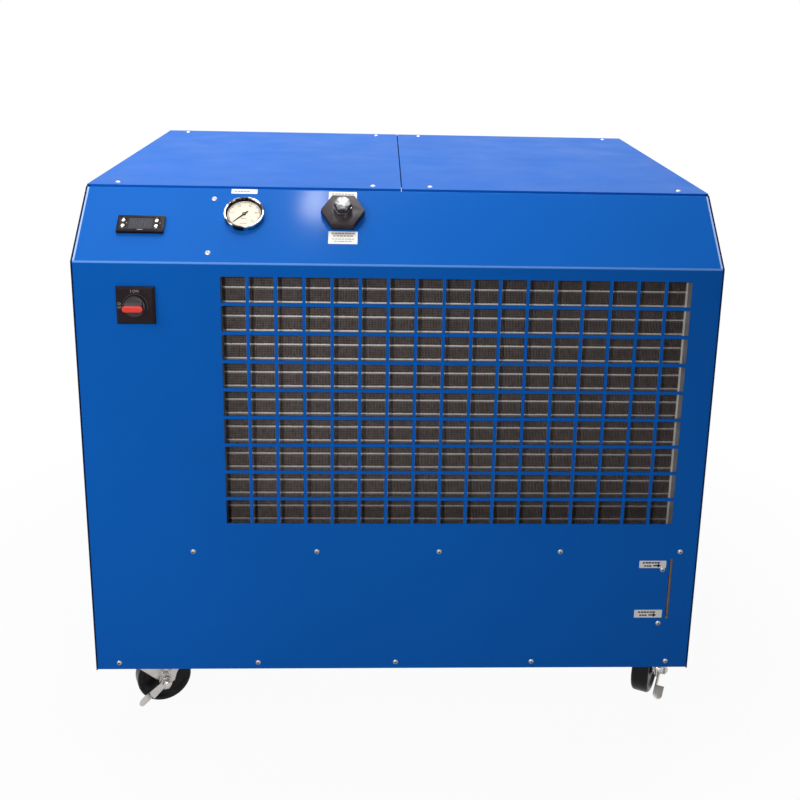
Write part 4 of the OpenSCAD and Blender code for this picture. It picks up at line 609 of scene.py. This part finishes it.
def softened(node, width):
    """A copy of a CAD node with its sharp edges rounded, shown in the node's place."""
    bm = bmesh.new()
    bm.from_mesh(frame["nodes"][node].data)
    bmesh.ops.remove_doubles(bm, verts=bm.verts, dist=WELD)
    bmesh.ops.dissolve_limit(bm, angle_limit=FLAT_ANGLE, verts=bm.verts, edges=bm.edges)
    body = frame["nodes"][node]["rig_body"]
    obj = make_object(node + "_shown", bm, [look_of(node)], body)
    for polygon in obj.data.polygons:
        polygon.use_smooth = True
    bevel = obj.modifiers.new("edges", "BEVEL")
    bevel.width = width
    bevel.segments = ROUNDING_SEGMENTS
    bevel.limit_method = "ANGLE"
    bevel.angle_limit = SHARP_ANGLE
    bevel.use_clamp_overlap = True
    bevel.harden_normals = True
    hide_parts(node)


# Coil fins: thin sheets with a wide collar at each tube and a bend behind the front edge
FIN_PITCH = 2.6*MM
FIN_T = 1.0*MM
COLLAR_T = 2.45*MM
COLLAR_HALF = 1.1*MM
COLLAR_FLARE = 0.5*MM
FIN_WAVE = 0.5*MM
FIN_BEND = 2.4*MM
FIN_BEND_D = 5*MM


def fin_levels(low, high):
    """Height, thickness and sway of each ring of a fin, from the bottom up."""
    flare = COLLAR_HALF + COLLAR_FLARE
    collar = ((-flare, FIN_T), (-COLLAR_HALF, COLLAR_T), (COLLAR_HALF, COLLAR_T), (flare, FIN_T))
    levels = [(low, FIN_T, 0)]
    z = FIRST_LINE_Z
    while z < high:
        levels += [(z + up, thick, 0) for up, thick in collar]
        if z + TUBE_PITCH/2 < high:
            levels.append((z + TUBE_PITCH/2, FIN_T, FIN_WAVE))
        z += TUBE_PITCH
    return levels + [(high, FIN_T, 0)]


def add_fin(bm, x, low, high):
    """One fin about x, kept between the sides of the coil."""
    rows = []
    for z, thick, sway in fin_levels(low.z, high.z):
        bends = ((low.y, sway), (low.y + FIN_BEND_D, sway + FIN_BEND), (high.y, sway))
        around = [(x + bend - thick/2, y) for y, bend in bends]
        around += [(x + bend + thick/2, y) for y, bend in reversed(bends)]
        rows.append([bm.verts.new((min(max(px, low.x), high.x), py, z)) for px, py in around])
    for a, b in zip(rows, rows[1:]):
        for m in range(len(a)):
            n = (m + 1) % len(a)
            bm.faces.new((a[n], a[m], b[m], b[n]))
    bm.faces.new(rows[0])
    bm.faces.new(list(reversed(rows[-1])))


def make_fins():
    low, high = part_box("condenser_fins")
    count = round((high.x - low.x)/FIN_PITCH)
    pitch = (high.x - low.x)/count
    bm = bmesh.new()
    for i in range(count):
        add_fin(bm, low.x + (i + 0.5)*pitch, low, high)
    fins = make_object("fin_pack", bm, ["fins"], "cabinet")
    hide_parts("condenser_fins")


# Labels: white plates with bars in place of words. The table has, in mm, each label's face,
# middle, size, print, arrow as x, y and size, and bars as x, y, length and thickness
LABEL_T = 0.15*MM
LABEL_CORNER_R = 1.2*MM
WORD_PITCH = 5.5*MM
WORD_SHARES = (0.72, 0.81, 0.9)
ARROW_SHAFT_T, ARROW_SHAFT_BACK = 0.28, 0.35
ARROW_HEAD_L, ARROW_HEAD_HALF = 0.62, 0.45
LEVEL_ARROW = (9, -2.6, 9.5)
LEVEL_BARS = ((-3, 3.1, 32, 2.9), (-9, -3.1, 14, 2.9))
LABELS = {
    "label_high_level": (on_front, (455.3, 208.6), (48.4, 14.3), "ink", LEVEL_ARROW, LEVEL_BARS),
    "label_low_level": (on_front, (454, 109.9), (50.5, 15.7), "ink", LEVEL_ARROW, LEVEL_BARS),
    "label_gauge": (on_slope, (-267.5, 153.5), (44, 10), "pale_ink", None, ((-4, 0, 26, 2.2),)),
    "label_fill": (on_slope, (-97.7, 56.2), (48.4, 26.5), "pale_ink", None,
                   ((0, 9, 40, 2.4), (0, 3.6, 34, 2.4), (0, -3, 38, 1.3), (0, -8, 30, 1.3))),
    "label_above": (on_slope, (-100.5, 143), (47.7, 26), "pale_ink", None,
                    ((0, 8, 38, 2.2), (0, 2.6, 32, 1.8), (0, -3.4, 36, 1.8))),
}


def in_metres(values):
    return [value*MM for value in values]


def add_words(bm, cx, cy, length, thick):
    """A line of bars, each as long as a word."""
    count = max(2, round(length/WORD_PITCH))
    step = length/count
    for k in range(count):
        word = step*WORD_SHARES[k % len(WORD_SHARES)]
        outline = rectangle(word, thick, cx - length/2 + step*(k + 0.5), cy)
        prism(bm, outline, LABEL_T - INK_T, LABEL_T + INK_T, 1)


def add_arrow(bm, x, y, size):
    """An arrow to the right, with a shaft and a head in shares of its size."""
    shaft = rectangle(size, size*ARROW_SHAFT_T, x - size*ARROW_SHAFT_BACK, y)
    half = size*ARROW_HEAD_HALF
    head = [(x, y - half), (x + size*ARROW_HEAD_L, y), (x, y + half)]
    for outline in (shaft, head):
        prism(bm, outline, LABEL_T - INK_T, LABEL_T + INK_T, 1)


def make_labels():
    for name, (face, middle, size, print_look, arrow, bars) in LABELS.items():
        bm = bmesh.new()
        prism(bm, rectangle(*in_metres(size), r=LABEL_CORNER_R), 0, LABEL_T)
        for bar in bars:
            add_words(bm, *in_metres(bar))
        if arrow:
            add_arrow(bm, *in_metres(arrow))
        make_object(name, bm, ["label", print_look], "cabinet", face(*in_metres(middle)))


# Pressure gauge: a generic dial with an outer scale and a paler inner one. Outer marks have a
# length and half a thickness, bars a length and a height
DIAL_OUT = 3.8*MM
DIAL_START = math.radians(225)
DIAL_SWEEP = math.radians(270)
LONG_EVERY = 5
OUTER_R = 26.5*MM
OUTER_MARKS = 50
OUTER_LONG = (3.4*MM, 0.32*MM)
OUTER_SHORT = (1.7*MM, 0.14*MM)
OUTER_ARC = (OUTER_R - 0.1*MM, OUTER_R + 0.15*MM)
ARC_STEPS = 60
FIGURE_PARTS = 10
FIGURE_EVERY = 2
FIGURE_WORTH = 6
FIGURE_SIZE = 4.4*MM
FIGURE_R = 19.6*MM
INNER_R = 13.6*MM
INNER_MARKS = 30
INNER_LONG_R, INNER_SHORT_R = 15.2*MM, 14.4*MM
INNER_HALF = 0.12*MM
DIAL_BARS = ((9*MM, -9.5*MM), (12*MM, -19.5*MM))
DIAL_BAR_T = 1.3*MM
INNER_RING_RADII = (28.2*MM, 29.9*MM)
INNER_RING_HEIGHTS = (4.0*MM, 7.1*MM)
RING_STEPS = 64


def dial_turn(share):
    return DIAL_START - DIAL_SWEEP*share


def add_mark(bm, turn, inner, outer, half, mat):
    """A radial mark between two radii, given half its thickness."""
    ux, uy = math.cos(turn), math.sin(turn)
    outline = [(ux*inner - uy*half, uy*inner + ux*half), (ux*inner + uy*half, uy*inner - ux*half),
               (ux*outer + uy*half, uy*outer - ux*half), (ux*outer - uy*half, uy*outer + ux*half)]
    prism(bm, outline, 0, INK_T, mat)


def make_dial_marks():
    bm = bmesh.new()
    for k in range(OUTER_MARKS + 1):
        length, half = OUTER_SHORT if k % LONG_EVERY else OUTER_LONG
        add_mark(bm, dial_turn(k/OUTER_MARKS), OUTER_R - length, OUTER_R, half, 0)
    ring(bm, OUTER_ARC, (0, INK_T), 0, ARC_STEPS, dial_turn(1), dial_turn(0))
    for k in range(0, FIGURE_PARTS + 1, FIGURE_EVERY):
        turn = dial_turn(k/FIGURE_PARTS)
        letters(bm, str(k*FIGURE_WORTH), FIGURE_SIZE, FIGURE_R*math.cos(turn), FIGURE_R*math.sin(turn))
    for k in range(INNER_MARKS + 1):
        outer = INNER_SHORT_R if k % LONG_EVERY else INNER_LONG_R
        add_mark(bm, dial_turn(k/INNER_MARKS), INNER_R, outer, INNER_HALF, 1)
    for length, y in DIAL_BARS:
        prism(bm, rectangle(length, DIAL_BAR_T, 0, y), 0, INK_T, 1)
    make_object("dial_marks", bm, ["ink", "pale_ink"], "cabinet",
                on_slope(middle_x("gauge_dial"), GAUGE_S, DIAL_OUT))


def make_gauge_ring():
    """A dark inner ring between the dial and the bright bezel."""
    bm = bmesh.new()
    ring(bm, INNER_RING_RADII, INNER_RING_HEIGHTS, 0, RING_STEPS)
    make_object("gauge_inner_ring", bm, ["ink"], "cabinet",
                on_slope(middle_x("gauge_dial"), GAUGE_S))


# Controller: a glossy window with three unlit digits and small marks, and print on the case.
# Side marks, as x, y and width, and the case's dashes and arrows are in mm
WINDOW_SIZE = (39*MM, 22*MM)
WINDOW_MIDDLE = (0, 0.75*MM)
WINDOW_CORNER_R = 0.6*MM
WINDOW_BACK = 5.2*MM
WINDOW_FACE = WINDOW_BACK + 0.3*MM
UNLIT = (WINDOW_FACE - 0.05*MM, WINDOW_FACE + 0.04*MM)
DIGIT_W, DIGIT_H, DIGIT_BAR = 5.4*MM, 10.4*MM, 1.3*MM
DIGIT_XS = (-9.5*MM, 0.0, 9.5*MM)
DIGIT_Y = 1.2*MM
DIGIT_LEAN = 0.1
DIGIT_FILL = 0.86
DOT_R = 0.55*MM
DOT_X = 15.6*MM
DOT_YS = (8.0*MM, 4.0*MM, 0.0, -4.0*MM)
DOT_STEPS = 12
SIDE_MARK_T = 1.4*MM
SIDE_MARKS = ((-15.6, 8.2, 2.0), (-15.6, 4.0, 1.6), (-15.6, -0.4, 2.0), (-15.6, -5.0, 1.6))
CASE_OUT = 6.0*MM
CASE_BAR = (9*MM, 1.1*MM, 0, -13.2*MM)
CASE_DASH = (3.4*MM, 0.9*MM)
CASE_DASHES = ((-29, 11.2), (25.5, 11.2), (-29, -10.2), (25.5, -10.2))
CASE_ARROWS = (-23.2, 31.6)
CASE_ARROW_HALF, CASE_ARROW_FOOT, CASE_ARROW_TIP = 1.3, 0.2, 2.2


def add_digit(bm, middle):
    """All seven bars of a digit, leaning to the right."""
    flat = [(0, y, DIGIT_W, DIGIT_BAR) for y in (-DIGIT_H/2, 0, DIGIT_H/2)]
    corners = [(x, y) for x in (-DIGIT_W/2, DIGIT_W/2) for y in (-DIGIT_H/4, DIGIT_H/4)]
    upright = [(x, y, DIGIT_BAR, DIGIT_H/2) for x, y in corners]
    for x, y, w, h in flat + upright:
        bar = rectangle(w*DIGIT_FILL, h*DIGIT_FILL, middle + x + DIGIT_LEAN*y, DIGIT_Y + y)
        prism(bm, bar, *UNLIT, 1)


def make_display():
    bm = bmesh.new()
    prism(bm, rectangle(*WINDOW_SIZE, *WINDOW_MIDDLE, WINDOW_CORNER_R), WINDOW_BACK, WINDOW_FACE, 0)
    for x in DIGIT_XS:
        add_digit(bm, x)
    for y in DOT_YS:
        prism(bm, disc(DOT_R, DOT_X, y, DOT_STEPS), *UNLIT, 1)
    for mark in SIDE_MARKS:
        x, y, w = in_metres(mark)
        prism(bm, rectangle(w, SIDE_MARK_T, x, y), *UNLIT, 1)
    make_object("controller_window", bm, ["window", "segment"], "cabinet",
                on_slope(middle_x("controller_case"), CONTROLLER_S))


def make_case_print():
    """Dashes, two small arrows and a bar beside the controller's keys."""
    bm = bmesh.new()
    outlines = [rectangle(*CASE_BAR)]
    outlines += [rectangle(*CASE_DASH, *in_metres(place)) for place in CASE_DASHES]
    for x in CASE_ARROWS:
        left, right = (x - CASE_ARROW_HALF, CASE_ARROW_FOOT), (x + CASE_ARROW_HALF, CASE_ARROW_FOOT)
        outlines.append([in_metres(point) for point in (left, right, (x, CASE_ARROW_TIP))])
    for outline in outlines:
        prism(bm, outline, CASE_OUT, CASE_OUT + INK_T, 0)
    make_object("controller_print", bm, ["print"], "cabinet",
                on_slope(middle_x("controller_case"), CONTROLLER_S))


# Disconnect switch: a faint printed arc and the words of its two states, each with its size,
# x and y in mm
SWITCH_ARC = (19.6*MM, 20.2*MM)
SWITCH_ARC_ENDS = (math.radians(-20), math.radians(200))
SWITCH_WORDS = {"I ON": (6.6, 0, 24.6), "O": (6.6, -25.6, 3.4), "OFF": (4.4, -25.4, -3.0)}


def make_switch_print():
    low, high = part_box("switch_plate")
    bm = bmesh.new()
    ring(bm, SWITCH_ARC, (0, INK_T), 1, RING_STEPS, *SWITCH_ARC_ENDS)
    for words, place in SWITCH_WORDS.items():
        letters(bm, words, *in_metres(place))
    make_object("switch_print", bm, ["print", "faint"], "cabinet",
                on_front(middle_x("switch_plate"), (low.z + high.z)/2 - DECK, FRONT_Y - low.y))


# Camera of the photograph, with its focal length and optical centre in pixels
PHOTO_SIZE = 800
FOCAL = 1111.7
CENTRE_X, CENTRE_Y = 433.4, 300.0
YAW, PITCH, ROLL = math.radians(2.783), math.radians(15.375), math.radians(1.392)
CAMERA_PLACE = (-0.0330, FRONT_Y - 1.7653, DECK + 1.1783)
SENSOR = 36
FARTHEST = 50


def make_camera():
    ahead = Vector((math.sin(YAW)*math.cos(PITCH), math.cos(YAW)*math.cos(PITCH), -math.sin(PITCH)))
    level = Vector((math.cos(YAW), -math.sin(YAW), 0))
    above = level.cross(ahead)
    right = math.cos(ROLL)*level + math.sin(ROLL)*above
    up = math.cos(ROLL)*above - math.sin(ROLL)*level
    data = bpy.data.cameras.new("camera")
    data.sensor_width = SENSOR
    data.lens = FOCAL/PHOTO_SIZE*SENSOR
    data.shift_x = (PHOTO_SIZE/2 - CENTRE_X)/PHOTO_SIZE
    data.shift_y = (CENTRE_Y - PHOTO_SIZE/2)/PHOTO_SIZE
    data.clip_end = FARTHEST
    camera = bpy.data.objects.new("camera", data)
    bpy.context.scene.collection.objects.link(camera)
    turn = Matrix((right, up, -ahead)).transposed().to_4x4()
    camera.matrix_world = Matrix.Translation(CAMERA_PLACE) @ turn
    bpy.context.scene.camera = camera


# Studio: a white world and a grey floor that fades into it from near to far, at shares of glow,
# and lamps that give most of the light
WORLD_LIGHT, WORLD_SEEN = 0.08, 1.0
FLOOR_REACH = 40.0
FLOOR_GREY = (0.6, 0.6, 0.6, 1)
FADE_NEAR, FADE_FAR = (0.7, 0.95), (1.4, 1.0)
# Each lamp's place, the point it looks at, its width and height, and its power in watts
LAMPS = {
    "flash": ((-0.335, FRONT_Y - 1.95, DECK + 1.29), (-1.9, FRONT_Y, 0.9), (0.12, 0.12), 19),
    "ceiling": ((-0.3, 0.75, 3.0), (0, 0, 0.6), (3.0, 2.4), 76),
    "spot": ((-0.27, FRONT_Y + 0.14, DECK + 2.9), (-0.14, FRONT_Y + 0.1, DECK + 0.83), (0.12, 0.08), 9),
    "left": ((-1.6, FRONT_Y - 1.2, DECK + 1.9), (0, FRONT_Y, 0.7), (0.9, 0.9), 16),
}


def seen_only(tree):
    """1 for rays from the camera, reflections and glass; 0 for light."""
    path = tree.nodes.new("ShaderNodeLightPath")
    total = path.outputs["Is Camera Ray"]
    for name in ("Is Glossy Ray", "Is Transmission Ray"):
        total = compute(tree, "MAXIMUM", total, path.outputs[name])
    return total


def make_world():
    world = bpy.data.worlds.new("studio")
    bpy.context.scene.world = world
    world.use_nodes = True
    tree = world.node_tree
    back = tree.nodes["Background"]
    put(back, {"Color": (1, 1, 1, 1)})
    feed(tree, back, {"Strength": span(tree, seen_only(tree), WORLD_LIGHT, WORLD_SEEN)})


def floor_look():
    """Matt grey that turns to a plain glow away from the chiller."""
    mat, tree, bsdf = new_material("pale_floor")
    put(bsdf, {"Base Color": FLOOR_GREY, "Roughness": 0.9, "Specular IOR Level": 0.0})
    glow = tree.nodes.new("ShaderNodeEmission")
    mix = tree.nodes.new("ShaderNodeMixShader")
    away = tree.nodes.new("ShaderNodeVectorMath")
    away.operation = "LENGTH"
    place = tree.nodes.new("ShaderNodeTexCoord")
    tree.links.new(place.outputs["Object"], away.inputs[0])
    (near, near_share), (far, far_share) = FADE_NEAR, FADE_FAR
    fade = span(tree, away.outputs["Value"], near_share, far_share, near, far)
    share = compute(tree, "MULTIPLY", seen_only(tree), fade)
    for source, socket in zip((share, bsdf.outputs[0], glow.outputs[0]), mix.inputs):
        tree.links.new(source, socket)
    feed(tree, tree.nodes["Material Output"], {"Surface": mix.outputs[0]})
    return mat


def make_floor():
    mesh = bpy.data.meshes.new("floor")
    corners = [(x*FLOOR_REACH, y*FLOOR_REACH, 0) for x, y in ((-1, -1), (1, -1), (1, 1), (-1, 1))]
    mesh.from_pydata(corners, [], [(0, 1, 2, 3)])
    floor = bpy.data.objects.new("floor", mesh)
    bpy.context.scene.collection.objects.link(floor)
    mesh.materials.append(floor_look())


def make_lamps():
    for name, (place, target, size, power) in LAMPS.items():
        data = bpy.data.lights.new(name, "AREA")
        data.shape = "RECTANGLE"
        data.size, data.size_y = size
        data.energy = power
        obj = bpy.data.objects.new(name, data)
        bpy.context.scene.collection.objects.link(obj)
        way = Vector(target) - Vector(place)
        obj.matrix_world = Matrix.Translation(place) @ way.to_track_quat("-Z", "Y").to_matrix().to_4x4()


dress_frame()
make_fins()
make_labels()
make_dial_marks()
make_gauge_ring()
make_display()
make_case_print()
make_switch_print()
for cad_node, rounding in ROUNDINGS.items():
    softened(cad_node, rounding*MM)
bpy.context.scene.view_settings.view_transform = "Standard"
make_camera()
make_world()
make_floor()
make_lamps()
